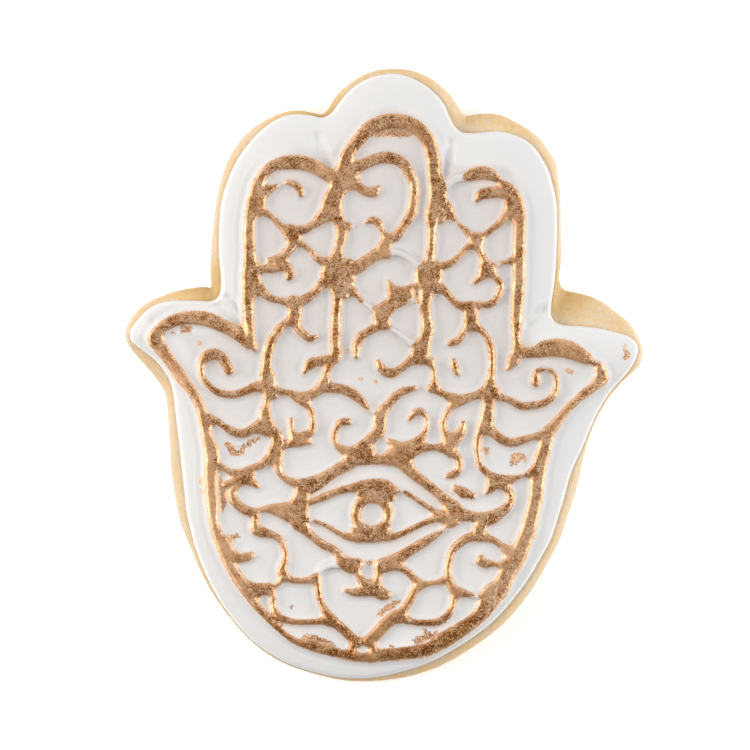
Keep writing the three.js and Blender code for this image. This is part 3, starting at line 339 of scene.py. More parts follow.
            (-19, -1.8, 1.8), (-17.2, -2.6, 0.9), (-15.5, -2.9, 0.7), (-13.5, -3.7, 1.8),
            (-11.6, -3.1, 1.3), (-10, -2.1, 1.6), (-8.3, -2.1, 1.4), (-6.5, -2.4, 1.4),
            (-4.7, -3.3, 1.4), (-3.4, -4.5, 1.1), (-2.8, -5.2, 0.7),
        ],
        "cup web": [(-18.9, -3.2, 1.2), (-17.8, -3.4, 1)],
        "left ring flank": [(-9.3, -0.5, 0.9), (-10.1, -1.4, 1.3), (-10.8, -2.3, 1)],
        "right ring": [
            (14.5, 8.1, 1.6), (15.9, 7.2, 0.9), (16.9, 5.8, 0.9), (17.5, 4, 1), (17.6, 2, 0.9),
            (17.5, 0, 0.9), (17.3, -1.6, 1.8), (17.1, -3.1, 2.6),
        ],
        "right cup": [
            (7.7, -2.2, 1.2), (9.3, -2.9, 0.8), (11.1, -3.7, 1.3), (12.9, -3.9, 1.3),
            (14.9, -3.3, 1), (16.4, -2.6, 1.4),
        ],
        "right dash": [(11.3, 2.4, 0.5), (11.5, 1.5, 1.1), (11.9, 0.4, 0.8)],
    },
    "palm sides": {
        "left spine": [
            (-19, -2.6, 1.4), (-19.1, -4.4, 0.7), (-19.3, -6.6, 2), (-18.7, -8.2, 1.5),
            (-18, -9.8, 0.9), (-17.8, -11.4, 1), (-18.1, -12.8, 1.7), (-17.4, -14.3, 1.4),
            (-17, -15.8, 0.9), (-15.9, -17, 0.9), (-14.4, -17.6, 1.2),
        ],
        "spine flank": [
            (-17.6, -9, 0.7), (-17, -10.1, 0.9), (-17, -11.4, 1.2), (-17, -13, 0.9),
            (-16.9, -14.4, 0.6),
        ],
        "scroll base line": [(-16.9, -11.6, 0.7), (-15.6, -11.5, 0.6), (-14.4, -11.2, 0.8)],
        "left lower garland": [
            (-28.2, -13.6, 1.6), (-26.8, -14.6, 0.8), (-25.3, -15.6, 0.7), (-23.5, -15.8, 0.9),
            (-21.8, -15.2, 0.8), (-20.1, -14.7, 1.1), (-18.5, -13.4, 1.4),
        ],
        "left leaf stem": [
            (-23.2, -15.9, 1.2), (-22.5, -16.9, 1.7), (-21.5, -17.4, 1.3), (-20.6, -18.1, 0.5),
        ],
        "left leaf nib": [(-22.3, -16.2, 1), (-21.3, -16, 0.7)],
        "left leaf shoulder": [(-23.4, -16.9, 1), (-24.6, -17.4, 0.9), (-25.8, -17.9, 0.8)],
        "left leaf": [
            (-22.7, -17.2, 1), (-24, -18.1, 0.9), (-24.7, -19.3, 1.2), (-24.1, -20.8, 1.4),
            (-22.5, -22, 1.4), (-21, -22.6, 1.3), (-21, -24, 0.9), (-20.6, -25.2, 1.8),
            (-18.3, -26, 1), (-16.9, -26.8, 0.9), (-16.2, -28.2, 0.7), (-16, -30, 0.7),
            (-16.5, -32, 1.5), (-15.4, -33.2, 0.9), (-13.8, -33.5, 0.7), (-12.2, -33.4, 0.9),
            (-11.1, -33, 1.4),
        ],
        "left wing": [
            (-20.9, -22.3, 1), (-19.8, -21.9, 0.6), (-18.4, -21.8, 1.3), (-16.8, -22, 2.2),
            (-14.9, -22.4, 3.2),
        ],
        "left tail": [(-16.1, -32.6, 1.2), (-16.8, -33.5, 0.7), (-17.3, -34.2, 0.4)],
        "left small hook": [
            (-26.2, -26.8, 1.4), (-25.7, -27.9, 1.9), (-24.9, -29.1, 1.7), (-23.5, -29.8, 1.2),
            (-22.3, -29.6, 1.3), (-21.7, -29.4, 1),
        ],
        "left foot": [
            (-23, -34, 1.8), (-22.2, -34.7, 2.4), (-20.4, -35, 2), (-18.9, -34.7, 1.5),
            (-18.1, -35.8, 0.8), (-18, -37.2, 0.7), (-17.4, -38.8, 0.8), (-16, -39.8, 0.8),
            (-14.2, -40.2, 0.7), (-12, -40.2, 0.7), (-10, -40.1, 0.8), (-8.1, -40.3, 1.5),
        ],
        "left scroll": [
            (-13.3, -4.1, 1.5), (-12.2, -5.2, 0.8), (-11.7, -6.6, 0.8), (-11.5, -8, 0.8),
            (-12, -9.4, 1.1), (-13.3, -9.8, 0.9), (-14.6, -10.4, 1.2),
        ],
        "left scroll hook": [(-14.6, -10.4, 1.2), (-15, -9, 0.7), (-15.1, -7.3, 0.5)],
        "left scroll base": [
            (-15.3, -11, 0.9), (-14, -10.7, 2), (-12.8, -10.9, 0.9), (-12, -11, 0.5),
        ],
        "right spine": [
            (17, -3.5, 2.3), (17, -5, 1.6), (16.8, -6.8, 2), (16.4, -8.4, 2.2), (15.5, -9.7, 1),
            (15.2, -11.4, 1), (15.3, -13.2, 0.7), (15.8, -15, 0.8), (17.1, -16.3, 1),
            (17.6, -17.4, 1.6), (17.4, -18.4, 1.3), (16.6, -19.2, 0.4),
        ],
        "right lower garland": [
            (17.3, -16.5, 1.2), (18.9, -17, 1.5), (20.6, -17, 1.2), (22.2, -16.5, 0.4),
        ],
        "right nub": [(25, -15.2, 1.8), (24, -15.9, 1.2), (23.1, -16.3, 0.5)],
        "right leaf": [
            (17.7, -17.6, 1.6), (19, -17.9, 1.3), (20.2, -18.7, 1.1), (20.6, -20, 1),
            (20.2, -21.3, 1.2), (18.9, -22.4, 1.6), (17.5, -23.2, 2.1), (16, -23.8, 1.5),
            (15.6, -25.2, 2), (15.2, -26.2, 1.7),
        ],
        "right dash": [(11.6, -18.4, 0.8), (13, -19.1, 1.5), (14.4, -19.7, 0.9)],
        "right ring": [
            (20.6, -29, 1.8), (19.2, -27.8, 0.9), (17.6, -26.8, 0.9), (15.9, -26.4, 1.3),
            (14.1, -26.4, 1.3), (12.4, -27.3, 1.2), (11.1, -28.8, 1), (10.6, -30.5, 0.9),
            (10.4, -32.2, 1), (10.7, -33.6, 1.2), (11.5, -35, 1.5), (13, -35.5, 1.1),
            (14.2, -35.8, 0.6),
        ],
        "right small hook": [
            (15.8, -29.8, 0.9), (15.8, -30.3, 1.4), (16.5, -30.7, 1.3), (17.4, -30.7, 0.9),
        ],
        "right small hook root": [(18.8, -31, 0.8), (19.6, -30.8, 1.6)],
        "right foot": [
            (12.6, -35.5, 0.9), (11.4, -36.4, 1), (11.2, -37.6, 0.8), (10.6, -38.8, 0.9),
            (9.5, -39.8, 0.9), (8, -40.3, 0.9), (6.2, -40.3, 0.8), (4.3, -40.1, 0.8),
            (2.3, -39.3, 2.1), (0.5, -40.3, 1.8), (-1.1, -42, 1.8), (-2.6, -43.2, 1.5),
        ],
    },
    "border below": {
        "left": [
            (-28.8, -10, 1.6), (-28, -12.8, 2.4), (-28.2, -17, 1.8), (-27.9, -21, 1.8),
            (-27.6, -24.5, 1.3), (-26.3, -27.6, 2), (-25.3, -30.6, 1.4), (-23.5, -33.4, 1.9),
            (-21.5, -36.5, 1.4), (-19.5, -39, 0.8), (-17.3, -41.2, 0.7), (-14.8, -43.1, 0.8),
            (-11.6, -44.2, 1.4), (-8.1, -45.1, 1.4), (-5.4, -45.8, 1.3), (-2.2, -46.1, 1.4),
        ],
        "right": [
            (26.6, -9.6, 2.2), (26.2, -11.8, 1.9), (25.4, -14.6, 2.2), (25, -17.2, 2.1),
            (24.7, -20.2, 2), (24.2, -22.4, 2.1), (23.6, -25, 2.3), (22.6, -27.6, 2.4),
            (21.5, -30.2, 2.5), (20.1, -32.5, 2.5), (18.8, -35, 2.6), (17.2, -37.2, 2.3),
            (15.1, -39.6, 2.1), (12.5, -41.5, 2.3), (9.8, -43.2, 2.4), (7, -44.7, 2),
            (3.4, -45.3, 1.9), (0, -45.6, 1.9), (-2.2, -46, 1.5),
        ],
        "right inner edge": [
            (18.4, -34, 1), (17.5, -34.9, 2), (16.8, -35.9, 2.3), (16.2, -37.3, 1.7),
            (15.1, -38.7, 1), (13.4, -40.3, 1), (11.2, -41.5, 1), (8.8, -42.7, 0.8),
        ],
    },
    "above the eye": {
        "left curl": [
            (-5.8, -7.6, 1), (-6.9, -7.7, 1), (-7.8, -8.7, 0.8), (-8.1, -10, 0.7),
            (-7.7, -11.5, 0.7), (-6.2, -12.3, 1.2), (-4.6, -13, 2.4),
        ],
        "left stem": [
            (-5, -13.3, 2.6), (-3.7, -12.2, 2.6), (-2.8, -11, 1.5), (-1.6, -10, 1.6),
            (-0.7, -8.8, 1.9), (-0.7, -7.1, 2), (-0.2, -6, 1.8), (0.7, -4.8, 1.3),
            (1.8, -3.5, 1.2), (3.3, -2.6, 1), (5.1, -2.1, 0.5),
        ],
        "middle": [
            (-4, -13.6, 2), (-1.9, -13.8, 1.4), (0, -13.8, 1.4), (1.6, -13.3, 2.9),
            (3.2, -12.7, 3.4), (4.6, -11.8, 2.4), (5.8, -10.5, 1.3), (6.8, -9.2, 0.6),
            (7, -7.8, 0.5), (6.7, -6.6, 0.5), (5.9, -5.9, 1), (5, -6.2, 1), (4.2, -7.1, 0.5),
        ],
        "stem foot": [(-2.5, -11.6, 1.3), (-2.1, -12.7, 1.1)],
        "middle horn": [(3, -12, 1.6), (1.9, -11.3, 1.2), (0.9, -10.8, 0.7)],
        "right arm": [
            (4.6, -12.2, 2), (6.4, -11.9, 1.2), (8.1, -11.8, 0.8), (9.6, -12, 1.2),
            (10.8, -12.6, 1.4), (11.8, -13.2, 1.1), (12.3, -14.4, 1), (12.1, -15.5, 1),
            (11.3, -16.2, 1), (10.4, -16.4, 0.7),
        ],
        "right stem": [
            (10.5, -12, 1.8), (10.5, -10.6, 1.7), (9.9, -9.3, 0.9), (9.6, -8, 0.8),
            (10.1, -6.6, 0.8), (10.9, -5.3, 0.9), (12.4, -4.5, 1), (14.2, -3.7, 0.9),
        ],
        "right curl": [(11, -11, 2), (12, -10, 1.6), (12.7, -8.8, 1.1), (12.9, -7.8, 0.6)],
        "left brow": [
            (-13.4, -18, 2), (-11.8, -17.8, 2.3), (-10, -16.9, 1.9), (-8, -15.7, 1.6),
            (-6.4, -14.8, 1.8), (-4.8, -13.6, 2.4),
        ],
        "right brow": [
            (2, -13.4, 2.6), (3.5, -14.6, 2.3), (4.8, -16.1, 1.6), (6.7, -17.6, 1.4),
            (8.5, -19, 1.3), (10.2, -20.6, 1.5), (11.5, -22, 2.4), (13, -22.8, 1.8),
            (14.6, -23, 1.2), (16.2, -23.2, 1.6),
        ],
    },
    "eye": {
        "left corner": [
            (-13.2, -17.8, 1.8), (-13.4, -19.7, 2.3), (-14, -22.2, 3.4), (-13.8, -23.9, 2.7),
            (-13, -25.1, 1.4), (-11.5, -26.4, 1.1), (-9.9, -27.6, 1.2), (-8, -28.6, 1.1),
            (-6.6, -30.4, 2), (-5.4, -31, 2.4), (-4.3, -30.8, 1.8),
        ],
        "upper lid": [
            (-12, -20.8, 0.6), (-10.2, -20.1, 0.9), (-8.4, -19.3, 1), (-6.6, -18.7, 1),
            (-4.9, -18.3, 1.2), (-3, -17.9, 1.6), (-1.4, -17.7, 1.5), (0.2, -17.9, 1.6),
            (1.6, -18.8, 1.4),
        ],
        "upper lid right": [
            (3.4, -19, 0.4), (5.2, -20.2, 0.6), (7, -21.4, 0.6), (8.8, -22.6, 0.8),
            (10.4, -23.3, 1.4),
        ],
        "lower lid left": [
            (-11.2, -23.8, 0.4), (-9.2, -24.6, 0.5), (-7.4, -25.7, 0.6), (-5.6, -26.5, 0.8),
            (-4, -26.6, 1.4),
        ],
        "lower lid": [
            (-4.6, -26.5, 1.1), (-2.6, -26.7, 1.1), (-0.4, -26.6, 1), (1.4, -26.4, 0.9),
            (3.2, -25.7, 0.7), (5, -24.8, 0.7), (6.8, -24, 0.7), (8.8, -23.4, 0.8),
            (10.9, -23.5, 2.2),
        ],
        "corner drop": [(10.6, -24.3, 1.2), (11.8, -24, 0.8)],
        "iris to upper lid": [
            (-3.7, -19.1, 1.5), (-1.8, -19, 2.2), (0.3, -19.3, 1.9), (1.2, -20, 1),
        ],
        "iris to lower lid": [
            (-5, -25.4, 0.9), (-3.9, -25.7, 1.6), (-2.2, -25.9, 1.7), (-0.3, -25.9, 1.4),
            (0.6, -25.5, 0.8),
        ],
        "under line right": [
            (9.2, -25.7, 0.4), (7.7, -26.5, 1.1), (5.9, -27.6, 1.4), (4.2, -28.6, 1.4),
            (2.8, -29.5, 1.7), (1.2, -30.4, 2), (-0.6, -30.8, 1.6),
        ],
    },
    "heart below": {
        "left edge": [
            (-10.9, -33.2, 1.3), (-10.7, -34.8, 0.9), (-10.4, -36.6, 0.8), (-9.6, -38.3, 1),
            (-8.5, -39.7, 1.4), (-7, -41.1, 1.4), (-5.7, -42.3, 1.4), (-4.6, -43.5, 1.4),
        ],
        "petal": [
            (-4.4, -31.2, 1.2), (-4.1, -32.8, 0.7), (-3.1, -33.9, 1.4), (-1.6, -34.9, 1.9),
            (-0.2, -35.7, 1.8), (0.6, -35.7, 1.2),
        ],
        "right lobe": [
            (-0.6, -31.8, 1), (0.6, -31.4, 1.2), (2, -31.2, 1.1), (3.5, -31.8, 0.9), (4.8, -33, 1),
            (5.7, -34.2, 1.4), (5, -35.1, 1.1), (4.4, -36.4, 1), (3.6, -37.7, 1.1),
            (2.7, -38.9, 1.5),
        ],
        "petal right link": [(-0.6, -31.2, 1.8), (-0.9, -32.6, 0.9), (-1.2, -33.8, 1.2)],
        "petal left tip": [
            (-6.2, -35.1, 0.4), (-4.8, -35.4, 1.1), (-3.2, -35.3, 1.4), (-1.8, -35.1, 1.6),
        ],
        "link": [(5.9, -34.2, 1.3), (7.6, -33.9, 0.5), (9.2, -33.6, 0.7), (10.5, -32.8, 1)],
        "left petal": [(-4.3, -43.4, 1.4), (-5.2, -44.3, 0.9), (-5.4, -45.7, 1.2)],
        "right petal": [(-2.6, -43.3, 1.5), (-1.8, -44.2, 1), (-1.7, -45.6, 1.2)],
    },
    "bare": {
        "middle bridge": [(0.6, 19.9, 1), (2.6, 19.8, 1.1), (4.3, 18.8, 1.1), (5.8, 17.2, 1.4)],
        "ring arch": [(9.4, 29.4, 1.4), (10.5, 31, 1.3), (12, 32, 1.4), (13.6, 32.2, 1.4)],
        "brooch bridge": [(4.2, 12.9, 0.4), (5.3, 11.5, 0.4), (6.2, 10.4, 0.5)],
        "spur to brooch": [(-3.8, 12.3, 0.6), (-2.6, 11.3, 0.8), (-1.2, 10.2, 1)],
        "brooch to bar": [(0.9, 7.7, 0.8), (2.6, 6.6, 0.9), (4.4, 5.2, 1.2)],
        "cup gap": [(-2.8, -5.2, 0.8), (-1.6, -6.2, 0.8)],
        "corner gap": [(33.8, 2.2, 0.9), (35.2, 1.7, 0.9)],
        "scroll gap": [(26.6, 0.8, 0.6), (25.8, 1, 0.7)],
        "garland gap": [(22, -16.6, 0.6), (23.3, -16.2, 0.8)],
        "hook gap": [(17, -30.8, 0.7), (18.2, -30.8, 0.7)],
        "foot gap": [(14, -35.9, 0.7), (15.8, -36, 0.9)],
        "tail gap": [(-17.2, -34.1, 0.5), (-18.2, -34.8, 0.7)],
        "left lobe": [(-11, -33, 0.9), (-10.2, -31.7, 0.9), (-8.8, -31, 1), (-7.2, -30.9, 1.2)],
        "link gap": [(17.2, 17.6, 1), (18.6, 18, 0.7), (20, 18.3, 0.6)],
        "spur to diagonal": [(11.2, 25.6, 0.6), (12.3, 24.4, 0.6)],
        "upper lid gap": [(1.8, -18.6, 0.9), (3.6, -19.1, 0.5)],
        "left lid gap": [(-13, -21.2, 0.8), (-11.8, -20.7, 0.6)],
        "lower lid gap": [(-13, -23.3, 0.8), (-11, -23.9, 0.5)],
        "under line gap": [(9.1, -25.6, 0.5), (10.4, -24.9, 0.8)],
    },
}

# Round ridges: centre, radius of the crest line, width.
ROUND_RIDGES = {
    "iris": (-1.9, -22.7, 2.65, 1.4),
}

# Lustre that missed the ridges: smears and specks on the flat icing, as x, y and width.
SMEARS = {
    "under the middle arch": [(-1.2, 39.2, 1.1), (1.5, 39.4, 1.3), (4, 39.3, 1.1)],
    "petal specks": [(-0.8, -38.9, 0.5), (0.1, -38.4, 1), (1.1, -37.7, 1.1), (2.1, -37, 0.8)],
    "bottom left patch": [
        (-13.1, -42.9, 0.8), (-12, -43, 1.5), (-10.3, -43.6, 1.8), (-8.9, -44.3, 1.8),
        (-8, -45, 1.2),
    ],
    "left border flakes": [
        (-26.7, -17, 0.7), (-26.3, -18.5, 1.1), (-26.1, -20, 1.2), (-26.5, -21.8, 0.9),
    ],
    "left border outer trace": [(-29.6, -16.4, 0.3), (-29.7, -17.6, 0.5), (-29.3, -19.2, 0.4)],
    "left border vee": [
        (-25.5, -11.4, 0.9), (-24.6, -12.3, 1.2), (-23.7, -12.7, 1.2), (-22.8, -11.9, 0.9),
        (-21.8, -11, 0.8), (-20.4, -10.4, 0.7),
    ],
    "left border nick": [(-27.8, -11.5, 0.5), (-27, -11.8, 0.5)],
    "left hook smear": [(-25.9, -26.5, 1.3), (-24.9, -26.5, 1.1), (-23.8, -26.3, 0.6)],
    "left thumb spot": [(-32.5, 7.4, 1.3), (-31.9, 7.4, 1.3)],
    "left thumb specks": [(-34.8, 6.8, 0.4), (-34.4, 6.8, 0.4)],
    "left thumb lower speck": [(-30.1, 5.3, 0.4), (-29.9, 5.3, 0.4)],
    "right thumb rub": [(39.1, 4.6, 0.3), (39.3, 3.7, 0.6), (39.4, 2.8, 0.7)],
    "right thumb drip": [(29.8, 0.9, 0.6), (30.4, 0.5, 0.6)],
    "lower right inner smear": [(5.3, -43.4, 1), (6.9, -42.7, 1.2), (8.6, -42.3, 1.1)],
    "lower right inner speck": [(6.6, -41.5, 0.4), (7, -41.8, 0.4)],
    "bar foot speck": [(-6.2, 4.4, 0.2), (-6, 4, 0.3)],
    "brooch bridge dust": [(5.1, 11.8, 0.6), (5.6, 11.9, 0.7)],
    "brooch hollow": [(5, 13.8, 1.2), (5.2, 12.9, 1.1)],
    "right spine blob": [(16.1, -12.2, 1.1), (16.6, -12.3, 1)],
    "right triangle": [(20.8, -14.1, 0.8), (21.7, -13.5, 1.9), (22.4, -13.5, 1.3)],
    "cup speck": [(-3.9, -0.7, 0.2), (-3.7, -0.7, 0.2)],
    "cup speck below": [(-1.5, -1.1, 0.2), (-1.3, -1.1, 0.2)],
    "lower left speck": [(-15, -37.7, 0.3), (-14.8, -37.7, 0.3)],
    "lid speck": [(9.5, -24.4, 0.3), (9.7, -24.4, 0.3)],
    "bottom speck": [(1.1, -44.2, 0.3), (1.3, -44.2, 0.3)],
    "heart link": [(-3.8, -30.4, 0.4), (-0.8, -30.6, 0.4)],
}

# Soft dents that the stamp left in the plain icing, as x, y and width.
DENTS = {
    "left notch fold": [
        (-27.6, 11.4, 0.4), (-26.2, 10.9, 1.2), (-24.9, 10, 1.8), (-23.8, 8.6, 1.6), (-23, 7.2, 1),
    ],
    "left notch edge": [
        (-25.4, 12.8, 0.3), (-24.4, 12, 0.5), (-23.7, 10.6, 0.5), (-23.3, 9.2, 0.3),
    ],
    "left thumb groove": [
        (-37.6, 9, 0.4), (-35.4, 10.2, 0.6), (-32.8, 10.7, 0.7), (-30, 10.6, 0.7),
        (-28, 10.2, 0.4),
    ],
    "between index and middle": [(-10.9, 38.6, 1.2), (-10.2, 36.6, 2), (-9.2, 34.4, 1.6)],
    "between middle and ring": [(10.9, 37.8, 1), (10.4, 35.4, 1.6), (9.8, 33, 1.2)],
    "right notch fold": [(26.6, 11, 0.8), (25.2, 9.8, 1.4), (23.6, 8.4, 1)],
}

# Lines and distances, in millimetres.
OUTLINE_STEP = 0.2  # spacing of the samples along the two outlines
OUTLINE_ROUNDS = 5  # rounds of softening over the outlines
LINE_STEP = 0.3  # spacing of the samples along a ridge
ROUND_POINTS = 49  # points along a round ridge, its first again as its last
CONTOUR_REACH = 2.1  # how far past a ridge its faint contours reach
FAR = 4.0  # distances past this are all the same
DEPTH_REACH = 7.0  # how far in from the icing's edge the distance to it is measured
DENT_REACH = 0.8  # how far past its width a dent runs out
DENT_SLOPE = 1.4  # width of a dent's soft slope

# Rings under the biscuit, as inset from its edge and height: a very slightly hollow underside and
# the small rounding at its foot.
FOOT_RINGS = (
    (2.2, 0.08), (1.7, 0.05), (1.2, 0), (0.85, 0.05), (0.55, 0.2), (0.3, 0.5), (0.1, 1.1),
)
SIDE_STEPS = 14  # rings up the biscuit's rounded side
SHELF_INSETS = (0.6, 1.4, 2.6)  # rings of the biscuit under the icing
SHELF_MARGIN = 0.02  # the crumb relief ends this far below the shelf
CRUMB_GRAIN = 0.7  # size of the crumbs
CRUMB_SWELL = 6  # size of the soft swells that carry them
CRUMB_FADE = 0.4  # the relief fades out this near the underside and the shelf
CRUMB_SINK = 0.03  # keeps the relief's mean inside the outline

# Rings down the icing's rim, as shares of the trim inset, then down its side and in under its
# edge, as inset and share of the side's height.
RIM_SHARES = (0.72, 0.52, 0.36, 0.23, 0.13, 0.06, 0.015, 0.0)
EDGE_RINGS = ((0.0, 0.3), (0.05, 0.12), (0.16, 0), (1.2, 0))
SNAP_ROUNDS = 4  # rounds that bring the grid's boundary to the trim line
SNAP_SLOPE = 0.2  # least slope of the distance that a round trusts
RELIEF_START = 0.2  # the stamp's relief begins this far in from the icing's edge
RELIEF_RAMP = 0.8  # and is full this much further in
SWELL_SIZE = 9  # size of the set icing's soft swells
SWELL_HEIGHT = 0.05
RIM_SWELL_HEIGHT = 0.03

# Stage, in metres and watts.
FLOOR_HALF = 0.9
SENSOR_WIDTH = 36.0
CAMERA_HEIGHT = 2.5
FRAME_WIDTH = 0.12215  # width of the picture at the cookie
FRAME_LEVEL = 0.007  # height above the floor at which it is that wide
AIM_X = -0.001466  # the cookie lies a little right of the picture's middle

# Softboxes: place, size, power and colour.
SOFTBOXES = {
    "Left softbox": ((-0.55, 0.06, 0.385), (0.45, 0.45), 4.3, (1.0, 0.97, 0.94)),
    "Right softbox": ((0.60, 0.0, 0.37), (0.5, 0.5), 4.0, (0.96, 0.98, 1.0)),
    "Back softbox": ((0.0, 0.62, 0.5), (0.6, 0.4), 0.15, (1.0, 1.0, 1.0)),
}

# ---------------------------------------------------------------- lines and outlines


def smooth_line(points, step):
    """Centripetal Catmull-Rom curve through the points; columns past x and y are interpolated."""
    rows = np.array(points, float)
    ends = np.vstack([2 * rows[0] - rows[1], rows, 2 * rows[-1] - rows[-2]])
    parts = []
    for before, start, stop, after in zip(ends, ends[1:], ends[2:], ends[3:]):
        quads = (before, start, stop, after)
        gaps = [max(1e-3, math.hypot(*(b - a)[:2])) ** 0.5 for a, b in zip(quads, quads[1:])]
        t0, t1, t2, t3 = np.cumsum([0] + gaps)
        count = max(2, round(gaps[1] ** 2 / step))
        t = np.linspace(t1, t2, count, endpoint=False)[:, None]
        a1 = ((t1 - t) * before + (t - t0) * start) / (t1 - t0)
        a2 = ((t2 - t) * start + (t - t1) * stop) / (t2 - t1)
        a3 = ((t3 - t) * stop + (t - t2) * after) / (t3 - t2)
        b1 = ((t2 - t) * a1 + (t - t0) * a2) / (t2 - t0)
        b2 = ((t3 - t) * a2 + (t - t1) * a3) / (t3 - t1)
        part = ((t2 - t) * b1 + (t - t1) * b2) / (t2 - t1)
        part[:, 2:] = start[2:] + (stop - start)[2:] * (t - t1) / (t2 - t1)
        parts.append(part)
    return np.vstack(parts + [rows[-1:]])


def even_points(line, count):
    """The line's points again, evenly spaced, without the last."""
    length = np.concatenate([[0], np.cumsum(np.linalg.norm(np.diff(line, axis=0), axis=1))])
    wanted = np.linspace(0, length[-1], count, endpoint=False)
    return np.column_stack([np.interp(wanted, length, column) for column in line.T])


def outline(edge):
    """Closed outline through the stretches, anticlockwise, with its notches softened."""
    names = list(edge)
    stretches = []
    for name, following in zip(names, names[1:] + names[:1]):
        line = smooth_line(edge[name] + edge[following][:1], OUTLINE_STEP)
        stretches.append(even_points(line, STRETCH_POINTS[name]))
    loop = np.vstack(stretches)[::-1]
    for _ in range(OUTLINE_ROUNDS):
        loop = (np.roll(loop, 1, 0) + 2 * loop + np.roll(loop, -1, 0)) / 4
    return loop


def outward_normals(loop):
    """Unit normals of an anticlockwise loop, at its points."""
    along = np.roll(loop, -1, 0) - np.roll(loop, 1, 0)
    across = np.column_stack([along[:, 1], -along[:, 0]])
    return across / np.linalg.norm(across, axis=1)[:, None]


# ---------------------------------------------------------------- fields on a grid


class Field:
    """Values on an even grid over the icing, in millimetres."""

    def __init__(self, low, high, spacing):
        self.low = np.array(low, float)
        self.spacing = spacing
        self.counts = [int(math.ceil((b - a) / spacing)) + 1 for a, b in zip(low, high)]
        self.x = self.low[0] + spacing * np.arange(self.counts[0])
        self.y = self.low[1] + spacing * np.arange(self.counts[1])

    def filled(self, value):
        return np.full((self.counts[1], self.counts[0]), float(value))

    def window(self, a, b, reach):
        """Part of the grid within reach of the segment from a to b."""
        low = np.floor((np.minimum(a, b) - reach - self.low) / self.spacing).astype(int)
        high = np.ceil((np.maximum(a, b) + reach - self.low) / self.spacing).astype(int) + 1
        low = np.maximum(low, 0)
        part = (slice(low[1], max(high[1], 0)), slice(low[0], max(high[0], 0)))
        return part, self.x[part[1]][None, :], self.y[part[0]][:, None]

    def read(self, values, xy):
        """Values between the grid's points."""
        place = (np.asarray(xy) - self.low) / self.spacing
        place = np.clip(place, 0, np.array(self.counts) - 1.001)
        cell = place.astype(int)
        fx, fy = (place - cell).T
        i, j = cell.T
        lower = values[j, i] * (1 - fx) + values[j, i + 1] * fx
        upper = values[j + 1, i] * (1 - fx) + values[j + 1, i + 1] * fx
        return lower * (1 - fy) + upper * fy


def segment_distance(x, y, a, b):
    """Distance to the segment from a to b, and how far along it the nearest point lies."""
    step = b[:2] - a[:2]
    share = ((x - a[0]) * step[0] + (y - a[1]) * step[1]) / max(step @ step, 1e-9)
    share = np.clip(share, 0, 1)
    return np.hypot(x - a[0] - share * step[0], y - a[1] - share * step[1]), share


def inside_distance(field, loop, reach):
    """Distance to the loop, positive inside it."""
    distance = field.filled(reach)
    following = np.roll(loop, -1, 0)
    for a, b in zip(loop, following):
        part, x, y = field.window(a, b, reach)
        distance[part] = np.minimum(distance[part], segment_distance(x, y, a, b)[0])
    for row, y in enumerate(field.y):
        crossing = (loop[:, 1] > y) != (following[:, 1] > y)
        a, b = loop[crossing], following[crossing]
        x = np.sort(a[:, 0] + (y - a[:, 1]) / (b[:, 1] - a[:, 1]) * (b[:, 0] - a[:, 0]))
        outside = np.searchsorted(x, field.x) % 2 == 0
        distance[row, outside] *= -1
    return distance


def ridge_section(beyond, width, sizes):
    """Rounded height of a ridge at a distance beyond its painted edge, negative inside it."""
    crest = np.minimum(width / 2, sizes.crest_rounding)
    top = np.minimum(sizes.ridge_high, sizes.ridge_low + sizes.ridge_growth * width)
    rise = np.clip((sizes.flank - beyond) / (sizes.flank + crest), 0, 1)
    foot = np.clip((sizes.foot_reach - beyond) / sizes.foot_reach, 0, 1)
    return top * np.sin(math.pi / 2 * rise) ** 1.25 + sizes.foot_height * foot


def stamp(field, line, sizes):
    """Height of one ridge and distance beyond its painted edge, all over the grid."""
    height = field.filled(0)
    beyond = field.filled(FAR)
    for a, b in zip(line, line[1:]):
        reach = max(a[2], b[2]) / 2 + CONTOUR_REACH
        part, x, y = field.window(a[:2], b[:2], reach)
        distance, share = segment_distance(x, y, a, b)
        width = a[2] + (b[2] - a[2]) * share
        past = distance - width / 2
        beyond[part] = np.minimum(beyond[part], past)
        height[part] = np.maximum(height[part], ridge_section(past, width, sizes))
    return height, beyond


def smooth_union(a, b, blend):
    """The higher of two reliefs, with a fillet where both stand up."""
    reach = blend * np.clip(np.minimum(a, b) / blend, 0, 1) + 1e-6
    share = np.clip(0.5 + 0.5 * (a - b) / reach, 0, 1)
    return b + (a - b) * share + reach * share * (1 - share)


def swept(values, bend, spacing, sign):
    """Highest value (sign 1) or lowest (sign -1) under a parabola swept along both axes."""
    for axis in (0, 1):
        best = values.copy()
        for step in range(1, math.ceil(bend / spacing) + 2):
            drop = sign * (step * spacing) ** 2 / (2 * bend)
            for way in (-step, step):
                moved = np.roll(values, way, axis) - drop
                best = np.maximum(best, moved) if sign > 0 else np.minimum(best, moved)
        values = best
    return values


def webbed(inside, sizes):
    """Distances inside the ridges, with the corners between ridges filled by small webs."""
    wider = swept(inside, sizes.web, sizes.mesh_spacing, 1)
    return swept(wider, sizes.web, sizes.mesh_spacing, -1)


def round_line(x, y, radius, width):
    """Closed circular crest line of one width."""
    turns = np.linspace(0, 2 * math.pi, ROUND_POINTS)
    widths = np.full(ROUND_POINTS, width)
    return np.column_stack([x + radius * np.cos(turns), y + radius * np.sin(turns), widths])


